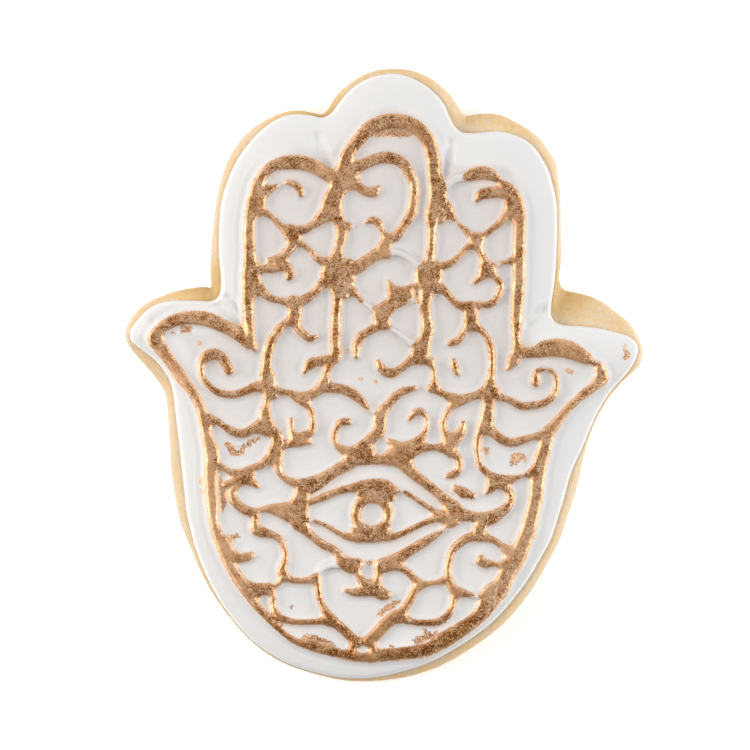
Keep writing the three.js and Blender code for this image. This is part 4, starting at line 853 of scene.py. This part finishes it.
def filigree(field, sizes):
    """Relief of all ridges, and the distances inside them, their lustre and the smears."""
    relief = field.filled(0)
    raised = field.filled(-FAR)
    painted = field.filled(-FAR)
    smeared = field.filled(-FAR)
    lines = []
    for region, ridges in RIDGES.items():
        for points in ridges.values():
            lines.append((smooth_line(points, LINE_STEP), region != "bare"))
    for ring in ROUND_RIDGES.values():
        lines.append((round_line(*ring), True))
    for line, has_lustre in lines:
        height, beyond = stamp(field, line, sizes)
        relief = smooth_union(relief, height, sizes.fillet)
        raised = np.maximum(raised, -beyond)
        if has_lustre:
            painted = np.maximum(painted, -beyond)
    for points in SMEARS.values():
        beyond = stamp(field, smooth_line(points, LINE_STEP), sizes)[1]
        smeared = np.maximum(smeared, -beyond)
    raised = webbed(raised, sizes)
    painted = webbed(painted, sizes)
    relief = smooth_union(relief, ridge_section(-raised, sizes.web, sizes), sizes.fillet)
    return relief, raised, painted, smeared


def dented(field, sizes):
    """Depth of the soft dents in the plain icing."""
    depth = field.filled(0)
    for points in DENTS.values():
        line = smooth_line(points, LINE_STEP)
        beyond = stamp(field, line, sizes)[1]
        share = np.clip((DENT_REACH - beyond) / DENT_SLOPE, 0, 1)
        depth = np.maximum(depth, sizes.dent_depth * share**2 * (3 - 2 * share))
    return depth


# ---------------------------------------------------------------- materials

# Places, bump heights and the features of a noise are in metres, because Object coordinates are.


def new_material(name):
    """A material with its node tree and its Principled shader."""
    material = bpy.data.materials.new(name)
    material.use_nodes = True
    tree = material.node_tree
    tree.nodes.clear()
    output = tree.nodes.new("ShaderNodeOutputMaterial")
    shader = tree.nodes.new("ShaderNodeBsdfPrincipled")
    tree.links.new(shader.outputs["BSDF"], output.inputs["Surface"])
    return material, tree, shader


def add_node(tree, kind, inputs=None, **settings):
    """A node with its settings, its input values and its links."""
    node = tree.nodes.new(kind)
    for key, value in settings.items():
        setattr(node, key, value)
    for key, value in (inputs or {}).items():
        if isinstance(value, bpy.types.NodeSocket):
            tree.links.new(value, node.inputs[key])
        else:
            node.inputs[key].default_value = value
    return node


def noise_texture(tree, vector, scale, detail=3.0, roughness=0.5):
    inputs = {"Vector": vector, "Scale": scale, "Detail": detail, "Roughness": roughness}
    return add_node(tree, "ShaderNodeTexNoise", inputs).outputs["Fac"]


def arithmetic(tree, operation, a, b, clamp=False):
    node = add_node(tree, "ShaderNodeMath", {0: a, 1: b}, operation=operation, use_clamp=clamp)
    return node.outputs["Value"]


def remap(tree, value, low, high, to_low=0.0, to_high=1.0, smooth=False):
    inputs = {"Value": value, "From Min": low, "From Max": high}
    inputs.update({"To Min": to_low, "To Max": to_high})
    kind = "SMOOTHSTEP" if smooth else "LINEAR"
    node = add_node(tree, "ShaderNodeMapRange", inputs, interpolation_type=kind, clamp=True)
    return node.outputs["Result"]


def mix_colour(tree, share, a, b):
    inputs = {"Factor": share, 6: a, 7: b}
    return add_node(tree, "ShaderNodeMix", inputs, data_type="RGBA").outputs[2]


def mix_value(tree, share, a, b):
    return add_node(tree, "ShaderNodeMix", {0: share, 2: a, 3: b}, data_type="FLOAT").outputs[0]


def fine_grain_group():
    """Fine uneven grain: a height for bumps and a slow patchiness, at a named scale."""
    group = bpy.data.node_groups.get("Fine grain")
    if group:
        return group
    group = bpy.data.node_groups.new("Fine grain", "ShaderNodeTree")
    for name, value in (("Grain Scale", 1800.0), ("Patch Scale", 120.0)):
        socket = group.interface.new_socket(name, in_out="INPUT", socket_type="NodeSocketFloat")
        socket.default_value = value
    for name in ("Height", "Patches"):
        group.interface.new_socket(name, in_out="OUTPUT", socket_type="NodeSocketFloat")
    source = group.nodes.new("NodeGroupInput")
    result = group.nodes.new("NodeGroupOutput")
    place = group.nodes.new("ShaderNodeTexCoord").outputs["Object"]
    grain = noise_texture(group, place, source.outputs["Grain Scale"], 4.0, 0.6)
    patches = noise_texture(group, place, source.outputs["Patch Scale"], 3.0, 0.55)
    group.links.new(grain, result.inputs["Height"])
    group.links.new(patches, result.inputs["Patches"])
    return group


def fine_grain(tree, grain_scale, patch_scale):
    node = tree.nodes.new("ShaderNodeGroup")
    node.node_tree = fine_grain_group()
    node.inputs["Grain Scale"].default_value = grain_scale
    node.inputs["Patch Scale"].default_value = patch_scale
    return node.outputs["Height"], node.outputs["Patches"]


def biscuit_material(look):
    """Baked crumb: pale and golden mottling, browned below, with flour on it, and painted shade on
    the ends of the hand, the notches and the left side.
    """
    material, tree, shader = new_material("Butter biscuit")
    place = add_node(tree, "ShaderNodeTexCoord").outputs["Object"]
    height, patches = fine_grain(tree, 1500.0, 220.0)
    crumbs = noise_texture(tree, place, 1000.0, 4.0, 0.7)
    pale = (*look.biscuit_pale, 1)
    golden = (*look.biscuit_golden, 1)
    brown = (*look.biscuit_brown, 1)
    split = add_node(tree, "ShaderNodeSeparateXYZ", {0: place})
    upper = remap(tree, split.outputs["Z"], 0.0038, 0.0064, 0.0, 0.2, smooth=True)
    blotches = remap(tree, patches, 0.35, 0.68, 0.06, 0.3)
    mottling = remap(tree, crumbs, 0.35, 0.65, -0.35, 0.35)
    blotches = arithmetic(tree, "ADD", blotches, mottling)
    # Painted shade: faces turned towards the front and back of the hand get more of the golden
    # crumb colour, and so do the notches.
    normal = add_node(tree, "ShaderNodeNewGeometry").outputs["Normal"]
    facing = add_node(tree, "ShaderNodeSeparateXYZ", {0: normal})
    ends = arithmetic(tree, "MULTIPLY", facing.outputs["Y"], facing.outputs["Y"])
    ends = arithmetic(tree, "MULTIPLY", ends, 0.65)
    ends = arithmetic(tree, "ADD", arithmetic(tree, "ADD", upper, blotches), ends)
    notch = add_node(tree, "ShaderNodeAttribute", attribute_name="notch").outputs["Fac"]
    golden_share_and_shade = arithmetic(tree, "ADD", ends, notch, clamp=True)
    colour = mix_colour(tree, golden_share_and_shade, pale, golden)
    underside = remap(tree, split.outputs["Z"], 0.0012, 0.0, 0.0, 0.75, smooth=True)
    colour = mix_colour(tree, underside, colour, brown)
    pits = noise_texture(tree, place, 2600.0, 2.0, 0.5)
    pits = remap(tree, pits, 0.56, 0.68, 0.0, 0.6)
    colour = mix_colour(tree, pits, colour, golden)
    # Flour left on the crumb shows as fine pale specks. The left side and the notches are darker:
    # painted shade.
    flour = noise_texture(tree, place, 3400.0, 2.0, 0.6)
    flour = remap(tree, flour, 0.6, 0.7, 0.0, 0.6)
    colour = mix_colour(tree, flour, colour, (*look.biscuit_flour, 1))
    shade = remap(tree, facing.outputs["X"], -0.8, -0.1, 0.88, 1.0)
    shade = arithmetic(tree, "MULTIPLY", shade, remap(tree, notch, 0.0, 1.0, 1.0, 0.79))
    scaled = add_node(tree, "ShaderNodeVectorMath", {0: colour, 3: shade}, operation="SCALE")
    tree.links.new(scaled.outputs["Vector"], shader.inputs["Base Color"])
    inputs = {"Strength": 0.6, "Distance": 0.0003, "Height": height}
    bump = add_node(tree, "ShaderNodeBump", inputs)
    tree.links.new(bump.outputs["Normal"], shader.inputs["Normal"])
    shader.inputs["Roughness"].default_value = 0.75
    shader.inputs["Specular IOR Level"].default_value = 0.3
    return material


def icing_material(look):
    """White icing with copper-gold lustre where the mesh's paint attributes say so, with painted
    shade in the cells and painted sheen on the lustre's flanks.
    """
    material, tree, shader = new_material("Icing with lustre")
    place = add_node(tree, "ShaderNodeTexCoord").outputs["Object"]
    normal = add_node(tree, "ShaderNodeNewGeometry").outputs["Normal"]
    height, patches = fine_grain(tree, 1600.0, 160.0)
    paint = add_node(tree, "ShaderNodeAttribute", attribute_name="paint").outputs["Fac"]
    smear = add_node(tree, "ShaderNodeAttribute", attribute_name="smear").outputs["Fac"]
    ridge = add_node(tree, "ShaderNodeAttribute", attribute_name="ridge").outputs["Fac"]

    # Lustre edge: the painted width frayed by two noises, and the smears broken up far more.
    fray = noise_texture(tree, place, 1900.0, 3.0, 0.6)
    fray = remap(tree, fray, 0.3, 0.7, -0.09, 0.09)
    ragged = arithmetic(tree, "ADD", paint, fray)
    painted = remap(tree, ragged, -0.19, -0.01, smooth=True)
    broken = noise_texture(tree, place, 1100.0, 4.0, 0.7)
    broken = remap(tree, broken, 0.35, 0.62, -0.36, 0.38)
    smeared = remap(tree, arithmetic(tree, "ADD", smear, broken), -0.1, 0.1, 0.0, 0.9, smooth=True)
    lustre = arithmetic(tree, "MAXIMUM", painted, smeared)

    # Flakes: each a small facet with its own shade and its own tilt, worn in patches, paler at the
    # sides of the palm and darker towards its foot. Down the flanks the lustre is smoother and
    # paler: partly smoother brushing, partly painted sheen.
    flakes = add_node(tree, "ShaderNodeTexVoronoi", {"Vector": place, "Scale": 7400.0})
    shade = add_node(tree, "ShaderNodeSeparateColor", {0: flakes.outputs["Color"]})
    worn = noise_texture(tree, place, 420.0, 3.0, 0.6)
    slow = remap(tree, worn, 0.35, 0.65, -0.26, 0.26)
    slow = arithmetic(tree, "ADD", slow, remap(tree, broken, -0.36, 0.38, -0.2, 0.2))
    depth = add_node(tree, "ShaderNodeAttribute", attribute_name="depth").outputs["Fac"]
    along = add_node(tree, "ShaderNodeSeparateXYZ", {0: place}).outputs["Y"]
    outer = remap(tree, depth, 6.0, 4.6, smooth=True)
    outer = arithmetic(tree, "MULTIPLY", outer, remap(tree, along, 0.002, -0.016, 0.0, 0.2))
    outer = arithmetic(tree, "MULTIPLY", outer, remap(tree, along, -0.041, -0.033))
    slow = arithmetic(tree, "ADD", slow, outer)
    slow = arithmetic(tree, "ADD", slow, remap(tree, along, -0.035, -0.042, 0.0, -0.3))
    tone = arithmetic(tree, "ADD", shade.outputs["Red"], slow, clamp=True)
    ramp = add_node(tree, "ShaderNodeValToRGB", {"Fac": tone})
    stops = ramp.color_ramp.elements
    stops[0].position, stops[0].color = 0.1, (*look.lustre_dark, 1)
    stops[1].position, stops[1].color = 0.9, (*look.lustre_bright, 1)
    middle = stops.new(0.5)
    middle.color = (*look.lustre, 1)
    thin = remap(tree, patches, 0.5, 0.68, 0.0, 0.6)
    thin = arithmetic(tree, "ADD", thin, outer)
    gold = mix_colour(tree, thin, ramp.outputs["Color"], (*look.lustre_thin, 1))
    # Painted sheen: slopes are mixed towards a paler, smoother copper.
    upright = add_node(tree, "ShaderNodeSeparateXYZ", {0: normal}).outputs["Z"]
    flank = remap(tree, upright, 0.97, 0.8, 0.0, 0.35, smooth=True)
    gold = mix_colour(tree, flank, gold, (*look.lustre_flank_sheen, 1))

    sugar = mix_colour(tree, patches, (*look.icing, 1), (*look.icing_shade, 1))
    # Painted shade: the icing in the stamped cells is darker and warmer than the border, standing
    # in for shade and warm light thrown back by the gold, most of all in the fingers.
    fingers = remap(tree, along, -0.02, 0.012, 0.3, 1.0, smooth=True)
    cell_shade = remap(tree, depth, 4.6, 6.2, smooth=True)
    cell_shade = arithmetic(tree, "MULTIPLY", cell_shade, fingers)
    sugar = mix_colour(tree, cell_shade, sugar, (*look.icing_cell_shade, 1))
    # A breath of lustre dust on the icing beside the ridges.
    dust = remap(tree, ragged, -0.7, -0.12, 0.0, 0.18, smooth=True)
    sugar = mix_colour(tree, dust, sugar, (*look.lustre_thin, 1))
    colour = mix_colour(tree, lustre, sugar, gold)
    tree.links.new(colour, shader.inputs["Base Color"])
    metal = mix_value(tree, thin, 0.8, 0.5)
    metal = mix_value(tree, painted, 0.3, metal)
    tree.links.new(arithmetic(tree, "MULTIPLY", lustre, metal), shader.inputs["Metallic"])
    sheen = mix_value(tree, flank, 0.44, 0.56)
    tree.links.new(mix_value(tree, lustre, 0.5, sheen), shader.inputs["Roughness"])

    tilt = add_node(
        tree, "ShaderNodeVectorMath", {0: flakes.outputs["Color"], 1: (0.5, 0.5, 0.5)},
        operation="SUBTRACT",
    ).outputs["Vector"]
    tilt = add_node(
        tree, "ShaderNodeVectorMath",
        {0: tilt, 1: [look.flake_tilt] * 3, 2: (0, 0, look.flake_lie)}, operation="MULTIPLY_ADD",
    ).outputs["Vector"]
    tilt = add_node(tree, "ShaderNodeVectorMath", {0: tilt, 3: lustre}, operation="SCALE")
    facets = add_node(
        tree, "ShaderNodeVectorMath", {0: normal, 1: tilt.outputs["Vector"]}, operation="ADD"
    )
    facets = add_node(
        tree, "ShaderNodeVectorMath", {0: facets.outputs["Vector"]}, operation="NORMALIZE"
    )
    # The ridge's crisp shoulders, finer than the mesh, then the grain of the set icing.
    shoulder = remap(tree, ridge, -0.16, 0.14, smooth=True)
    near = remap(tree, ridge, -0.85, -0.6, 0.0, 0.3, smooth=True)
    far = remap(tree, ridge, -1.9, -1.6, 0.0, 0.2, smooth=True)
    shoulder = arithmetic(tree, "ADD", shoulder, arithmetic(tree, "ADD", near, far))
    crispness = mix_value(tree, lustre, 1.0, 0.35)
    inputs = {"Distance": look.shoulder_height * MM, "Strength": crispness, "Height": shoulder}
    inputs["Normal"] = facets.outputs["Vector"]
    crisp = add_node(tree, "ShaderNodeBump", inputs).outputs["Normal"]
    inputs = {"Strength": 0.25, "Distance": 0.0001, "Height": height, "Normal": crisp}
    bump = add_node(tree, "ShaderNodeBump", inputs)
    tree.links.new(bump.outputs["Normal"], shader.inputs["Normal"])
    shader.inputs["Specular IOR Level"].default_value = 0.4
    return material


def floor_material(look):
    material, tree, shader = new_material("Pale floor")
    shader.inputs["Base Color"].default_value = (*look.floor, 1)
    shader.inputs["Roughness"].default_value = 0.9
    shader.inputs["Emission Color"].default_value = (*look.floor, 1)
    shader.inputs["Emission Strength"].default_value = 0.34
    return material


# ---------------------------------------------------------------- pieces


def finished(bm, name, material):
    """The bmesh, in millimetres, as an object at the origin in metres."""
    bmesh.ops.scale(bm, vec=(MM, MM, MM), verts=bm.verts)
    bmesh.ops.recalc_face_normals(bm, faces=bm.faces)
    # Only the wide flat faces that close a piece have more than four corners.
    for face in bm.faces:
        face.smooth = len(face.verts) <= 4
    mesh = bpy.data.meshes.new(name)
    bm.to_mesh(mesh)
    bm.free()
    mesh.materials.append(material)
    piece = bpy.data.objects.new(name, mesh)
    bpy.context.scene.collection.objects.link(piece)
    return piece


def crumb(point, amount):
    """Uneven baked surface: soft swells with smaller crumbs on them."""
    place = Vector(point)
    swell = noise.fractal(place / CRUMB_SWELL, 1, 2, 3) * 0.6
    grain = noise.fractal(place / CRUMB_GRAIN, 1, 2, 3)
    return amount * (swell + grain)


def biscuit_rings(sizes):
    """Rings of the biscuit from the edge of the underside to under the icing."""
    edge = outline(BISCUIT_EDGE)
    shelf = outline(ICING_EDGE)
    shelf = shelf + outward_normals(shelf) * sizes.shelf
    out = outward_normals(edge)
    rings = [(edge - out * inset, height) for inset, height in FOOT_RINGS]
    widest = sizes.widest_height
    rings.append((edge, widest))
    for step in range(1, SIDE_STEPS + 1):
        turn = math.pi / 2 * step / SIDE_STEPS
        across = (1 - math.cos(turn)) ** 0.9
        height = widest + (BISCUIT_TOP - widest) * math.sin(turn) ** 0.85
        rings.append((edge + (shelf - edge) * across, height))
    inwards = outward_normals(shelf)
    for inset in SHELF_INSETS:
        rings.append((shelf - inwards * inset, BISCUIT_TOP))
    return rings


def build_biscuit(sizes, look):
    """The biscuit: a sheet of quads wrapped round its rings, closed above and below."""
    rings = biscuit_rings(sizes)
    count = len(rings[0][0])
    bm = bmesh.new()
    bmesh.ops.create_grid(bm, x_segments=count, y_segments=len(rings) - 1, size=1)
    bm.verts.ensure_lookup_table()
    for vert in bm.verts:
        around = round((vert.co.x + 1) / 2 * count) % count
        level = round((vert.co.y + 1) / 2 * (len(rings) - 1))
        loop, height = rings[level]
        vert.co = (loop[around][0], loop[around][1], height)
    bmesh.ops.remove_doubles(bm, verts=bm.verts, dist=1e-4)
    bm.normal_update()
    bmesh.ops.recalc_face_normals(bm, faces=bm.faces)
    shelf_height = BISCUIT_TOP - SHELF_MARGIN
    for vert in list(bm.verts):
        if 0.01 < vert.co.z < shelf_height:
            depth = min(1, (shelf_height - vert.co.z) / CRUMB_FADE)
            depth *= min(1, vert.co.z / CRUMB_FADE)
            lift = crumb(vert.co, sizes.crumb_height) - CRUMB_SINK
            vert.co += vert.normal * lift * depth
    rims = [edge for edge in bm.edges if edge.is_boundary]
    bmesh.ops.holes_fill(bm, edges=rims, sides=0)
    piece = finished(bm, "Biscuit", biscuit_material(look))
    # The notch attribute carries painted shade: full at a notch, fading out at the notch reach,
    # none on the underside.
    notches = [BISCUIT_EDGE[name][0] for name in ("index", "middle", "right thumb")]
    attribute = piece.data.attributes.new("notch", "FLOAT", "POINT")
    for vert, item in zip(piece.data.vertices, attribute.data):
        x, y = vert.co.x / MM, vert.co.y / MM
        nearest = min(math.hypot(x - a, y - b) for a, b in notches)
        off_floor = min(1, vert.co.z / MM)
        item.value = max(0, 1 - nearest / sizes.notch_reach) * off_floor
    return piece


def icing_level(inside, sizes):
    """Height of the icing's plain surface at a distance inside its edge."""
    share = np.clip(inside / sizes.rim_width, 0, 1)
    rise = sizes.icing_thickness - sizes.side_height
    droop = sizes.droop * (1 - np.clip(inside / sizes.droop_width, 0, 1)) ** 2
    return BISCUIT_TOP + sizes.side_height + rise * np.sqrt(1 - (1 - share) ** 2) - droop


def icing_swell(point):
    """Very soft unevenness of the set icing."""
    return noise.fractal(Vector((point.x / SWELL_SIZE, point.y / SWELL_SIZE, 1)), 1, 2, 2)


def build_icing(sizes, look):
    """The icing: a fine grid with the stamp's relief, trimmed, with a rim, a side and a base."""
    edge = outline(ICING_EDGE)
    field = Field(edge.min(0) - 1, edge.max(0) + 1, sizes.mesh_spacing)
    inside = inside_distance(field, edge, DEPTH_REACH)
    relief, raised, painted, smeared = filigree(field, sizes)
    relief = relief - dented(field, sizes)
    slope_y, slope_x = np.gradient(inside, sizes.mesh_spacing)
    trim = sizes.trim_inset

    bm = bmesh.new()
    columns, rows = field.counts
    bmesh.ops.create_grid(bm, x_segments=columns - 1, y_segments=rows - 1, size=1)
    outward = bm.verts.layers.float_vector.new("outward")
    centre = field.low + sizes.mesh_spacing * (np.array(field.counts) - 1) / 2
    half = sizes.mesh_spacing * (np.array(field.counts) - 1) / 2
    places = np.array([vert.co[:2] for vert in bm.verts]) * half + centre
    within = field.read(inside, places)
    for vert, place in zip(bm.verts, places):
        vert.co = (place[0], place[1], 0)
    outer = [vert for vert, depth in zip(bm.verts, within) if depth < trim]
    bmesh.ops.delete(bm, geom=outer, context="VERTS")
    loose = [vert for vert in bm.verts if not vert.link_faces]
    bmesh.ops.delete(bm, geom=loose, context="VERTS")

    # The trimmed grid's ragged boundary is drawn out to one smooth line at the trim inset.
    rim = [vert for vert in bm.verts if vert.is_boundary]
    place = np.array([vert.co[:2] for vert in rim])
    for _ in range(SNAP_ROUNDS):
        slope = np.column_stack([field.read(slope_x, place), field.read(slope_y, place)])
        steep = np.maximum((slope**2).sum(1), SNAP_SLOPE)
        place = place + slope * ((trim - field.read(inside, place)) / steep)[:, None]
    slope = np.column_stack([field.read(slope_x, place), field.read(slope_y, place)])
    slope = slope / np.linalg.norm(slope, axis=1)[:, None]
    for vert, point, direction in zip(rim, place, slope):
        vert.co = (point[0], point[1], 0)
        vert[outward] = (-direction[0], -direction[1], 0)

    places = np.array([vert.co[:2] for vert in bm.verts])
    depth = np.maximum(field.read(inside, places), trim)
    fade = np.clip((depth - RELIEF_START) / RELIEF_RAMP, 0, 1)
    height = icing_level(depth, sizes) + field.read(relief, places) * fade
    for vert, z in zip(bm.verts, height):
        vert.co.z = min(z + SWELL_HEIGHT * icing_swell(vert.co), ICING_TOP)

    # Rounded rim and side: the boundary is extruded outwards and down, ring by ring.
    border = [edge for edge in bm.edges if edge.is_boundary]
    previous = trim
    fall = [trim * share for share in RIM_SHARES]
    levels = [(depth, float(icing_level(np.array(depth), sizes))) for depth in fall]
    side = sizes.side_height
    levels += [(inset, BISCUIT_TOP + side * share) for inset, share in EDGE_RINGS]
    for depth, height in levels:
        made = bmesh.ops.extrude_edge_only(bm, edges=border)["geom"]
        for item in made:
            if isinstance(item, bmesh.types.BMVert):
                shift = item[outward] * (previous - depth)
                soft = RIM_SWELL_HEIGHT * icing_swell(item.co)
                item.co = (item.co.x + shift.x, item.co.y + shift.y, height + soft)
                if height <= BISCUIT_TOP:
                    item.co.z = BISCUIT_TOP
        border = [item for item in made if isinstance(item, bmesh.types.BMEdge)]
        border = [item for item in border if item.is_boundary]
        previous = depth
    bmesh.ops.holes_fill(bm, edges=border, sides=0)

    piece = finished(bm, "Icing", icing_material(look))
    count = len(piece.data.vertices)
    coordinates = np.empty(count * 3)
    piece.data.vertices.foreach_get("co", coordinates)
    places = coordinates.reshape(-1, 3)[:, :2] / MM
    fields = {"ridge": raised, "paint": painted, "smear": smeared, "depth": inside}
    for name, values in fields.items():
        attribute = piece.data.attributes.new(name, "FLOAT", "POINT")
        attribute.data.foreach_set("value", field.read(values, places))
    return piece


# ---------------------------------------------------------------- sizes and colours


def number_property(name, description, default):
    return bpy.props.FloatProperty(name=name, description=description, default=default, min=0)


class CookieSizes(bpy.types.PropertyGroup):
    """Sizes in millimetres."""

    icing_thickness: number_property("Icing Thickness", "Thickness of the plain icing", 2.5)
    side_height: number_property("Icing Side", "Height of the icing's upright side", 1.3)
    rim_width: number_property("Rim Width", "Width of the icing's rounded rim", 0.55)
    droop: number_property("Droop", "How far the icing sinks towards its edge", 0.75)
    droop_width: number_property("Droop Width", "How far in from the edge the icing sinks", 4.5)
    trim_inset: number_property("Trim Inset", "Where the grid ends and the rim begins", 0.8)
    mesh_spacing: number_property("Mesh Spacing", "Spacing of the icing's mesh", 0.25)
    ridge_low: number_property("Hairline Height", "Height of the finest ridges", 0.32)
    ridge_growth: number_property("Ridge Growth", "Extra height for a ridge's width", 0.45)
    ridge_high: number_property("Ridge Height", "Height of the widest ridges", 0.78)
    crest_rounding: number_property("Crest Rounding", "Width of a crest's rounded edge", 0.42)
    flank: number_property("Flank", "How far the flank runs past the painted edge", 0.42)
    foot_reach: number_property("Foot Reach", "How far a ridge's low foot spreads", 0.9)
    foot_height: number_property("Foot Height", "Height of a ridge's low foot", 0.1)
    fillet: number_property("Fillet", "Softness where ridges meet", 0.3)
    web: number_property("Web", "Bend of the webs in the corners between ridges", 0.8)
    dent_depth: number_property("Dent Depth", "Depth of the soft dents in the icing", 0.55)
    widest_height: number_property("Widest Height", "Height of the biscuit's widest line", 2.2)
    shelf: number_property("Shelf", "Flat biscuit left round the icing", 0.2)
    # Notch reach: how far the painted shade of the notches reaches.
    notch_reach: number_property("Notch Reach", "How far the deeper baked notches reach", 6.0)
    crumb_height: number_property("Crumb Height", "Height of the biscuit's crumb relief", 0.08)


def colour_property(name, description, default):
    return bpy.props.FloatVectorProperty(
        name=name, description=description, default=default, subtype="COLOR", min=0, max=1
    )


class CookieLook(bpy.types.PropertyGroup):
    """Colours and finish."""

    biscuit_pale: colour_property("Biscuit Pale", "Pale crumb", (0.68, 0.565, 0.43))
    biscuit_flour: colour_property("Biscuit Flour", "Pale specks", (0.76, 0.69, 0.58))
    biscuit_golden: colour_property("Biscuit Golden", "Golden crumb", (0.73, 0.48, 0.205))
    biscuit_brown: colour_property("Biscuit Brown", "Baked underside", (0.42, 0.20, 0.07))
    icing: colour_property("Icing", "Icing", (0.755, 0.74, 0.725))
    # Darker, warmer icing in the cells: painted shade and gold bounce.
    icing_cell_shade: colour_property("Pressed Icing", "Icing in the cells", (0.67, 0.635, 0.615))
    icing_shade: colour_property("Icing Shade", "Icing, slow variation", (0.725, 0.715, 0.705))
    lustre_dark: colour_property("Lustre Dark", "Darkest flakes", (0.22, 0.074, 0.018))
    lustre: colour_property("Lustre", "Lustre", (0.74, 0.335, 0.11))
    lustre_bright: colour_property("Lustre Bright", "Brightest flakes", (0.93, 0.655, 0.44))
    lustre_thin: colour_property("Lustre Thin", "Thinly brushed lustre", (0.74, 0.42, 0.215))
    # Paler copper for the flanks: partly smoother brushing, partly painted sheen.
    lustre_flank_sheen: colour_property("Lustre Flank", "Smooth lustre on flanks", (0.72, 0.47, 0.285))
    floor: colour_property("Floor", "Floor", (0.97, 0.97, 0.97))
    flake_tilt: number_property("Flake Tilt", "How unevenly the flakes lie", 0.34)
    flake_lie: number_property("Flake Lie", "How much flatter the flakes lie than the ridge", 0.35)
    shoulder_height: number_property("Shoulder Height", "Fine height of a ridge's shoulder", 0.14)


# ---------------------------------------------------------------- operators


class OBJECT_OT_cookie_biscuit(bpy.types.Operator):
    """Add the rolled butter biscuit"""

    bl_idname = "cookie.biscuit"
    bl_label = "Add Biscuit"

    def execute(self, context):
        piece = build_biscuit(context.scene.cookie_sizes, context.scene.cookie_look)
        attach(piece, "root")
        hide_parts("biscuit")
        return {"FINISHED"}


class OBJECT_OT_cookie_icing(bpy.types.Operator):
    """Add the stamped icing with its lustre"""

    bl_idname = "cookie.icing"
    bl_label = "Add Icing"

    def execute(self, context):
        piece = build_icing(context.scene.cookie_sizes, context.scene.cookie_look)
        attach(piece, "root")
        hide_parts("icing")
        return {"FINISHED"}


def add_softbox(name, place, size, power, colour):
    """A square area light that faces the middle of the cookie."""
    light = bpy.data.lights.new(name, "AREA")
    light.shape = "RECTANGLE"
    light.size, light.size_y = size
    light.energy = power
    light.color = colour
    lamp = bpy.data.objects.new(name, light)
    lamp.location = place
    lamp.rotation_euler = (-Vector(place)).to_track_quat("-Z", "Y").to_euler()
    bpy.context.scene.collection.objects.link(lamp)


def build_world():
    """Grey surroundings, darker straight above than near the horizon, darkest in front."""
    world = bpy.data.worlds.new("Studio")
    world.use_nodes = True
    tree = world.node_tree
    tree.nodes.clear()
    direction = add_node(tree, "ShaderNodeTexCoord").outputs["Generated"]
    split = add_node(tree, "ShaderNodeSeparateXYZ", {0: direction})
    strength = remap(tree, split.outputs["Z"], 0.35, 0.95, 0.75, 0.12, smooth=True)
    front = remap(tree, split.outputs["Y"], -0.1, -0.5, 1.0, 0.2, smooth=True)
    strength = arithmetic(tree, "MULTIPLY", strength, front)
    background = add_node(tree, "ShaderNodeBackground", {"Strength": strength})
    background.inputs["Color"].default_value = (1, 1, 1, 1)
    output = tree.nodes.new("ShaderNodeOutputWorld")
    tree.links.new(background.outputs["Background"], output.inputs["Surface"])
    bpy.context.scene.world = world


class OBJECT_OT_cookie_stage(bpy.types.Operator):
    """Add the pale floor, the soft lights and the camera"""

    bl_idname = "cookie.stage"
    bl_label = "Add Stage"

    def execute(self, context):
        bm = bmesh.new()
        bmesh.ops.create_grid(bm, x_segments=2, y_segments=2, size=FLOOR_HALF / MM)
        floor = finished(bm, "Floor", floor_material(context.scene.cookie_look))
        build_world()
        for name, settings in SOFTBOXES.items():
            add_softbox(name, *settings)
        camera_data = bpy.data.cameras.new("Camera")
        camera_data.sensor_width = SENSOR_WIDTH
        camera_data.lens = SENSOR_WIDTH * CAMERA_HEIGHT / FRAME_WIDTH
        camera = bpy.data.objects.new("Camera", camera_data)
        camera.location = (AIM_X, 0, CAMERA_HEIGHT + FRAME_LEVEL)
        context.scene.collection.objects.link(camera)
        context.scene.camera = camera
        context.scene.view_settings.view_transform = "Standard"
        return {"FINISHED"}


class VIEW3D_PT_cookie(bpy.types.Panel):
    """Lists the cookie's pieces, sizes and colours"""

    bl_label = "Iced Hand Cookie"
    bl_space_type = "VIEW_3D"
    bl_region_type = "UI"
    bl_category = "Cookie"

    def draw(self, context):
        layout = self.layout
        for operator in PIECES:
            layout.operator(operator.bl_idname)
        for group in (context.scene.cookie_sizes, context.scene.cookie_look):
            for name in group.bl_rna.properties.keys():
                if name not in ("rna_type", "name"):
                    layout.prop(group, name)


PIECES = (OBJECT_OT_cookie_biscuit, OBJECT_OT_cookie_icing, OBJECT_OT_cookie_stage)
CLASSES = (CookieSizes, CookieLook, *PIECES, VIEW3D_PT_cookie)


def register():
    for cls in CLASSES:
        bpy.utils.register_class(cls)
    bpy.types.Scene.cookie_sizes = bpy.props.PointerProperty(type=CookieSizes)
    bpy.types.Scene.cookie_look = bpy.props.PointerProperty(type=CookieLook)


def unregister():
    del bpy.types.Scene.cookie_look
    del bpy.types.Scene.cookie_sizes
    for cls in reversed(CLASSES):
        bpy.utils.unregister_class(cls)


def main():
    register()
    bpy.ops.cookie.biscuit()
    bpy.ops.cookie.icing()
    bpy.ops.cookie.stage()


if __name__ == "__main__":
    main()
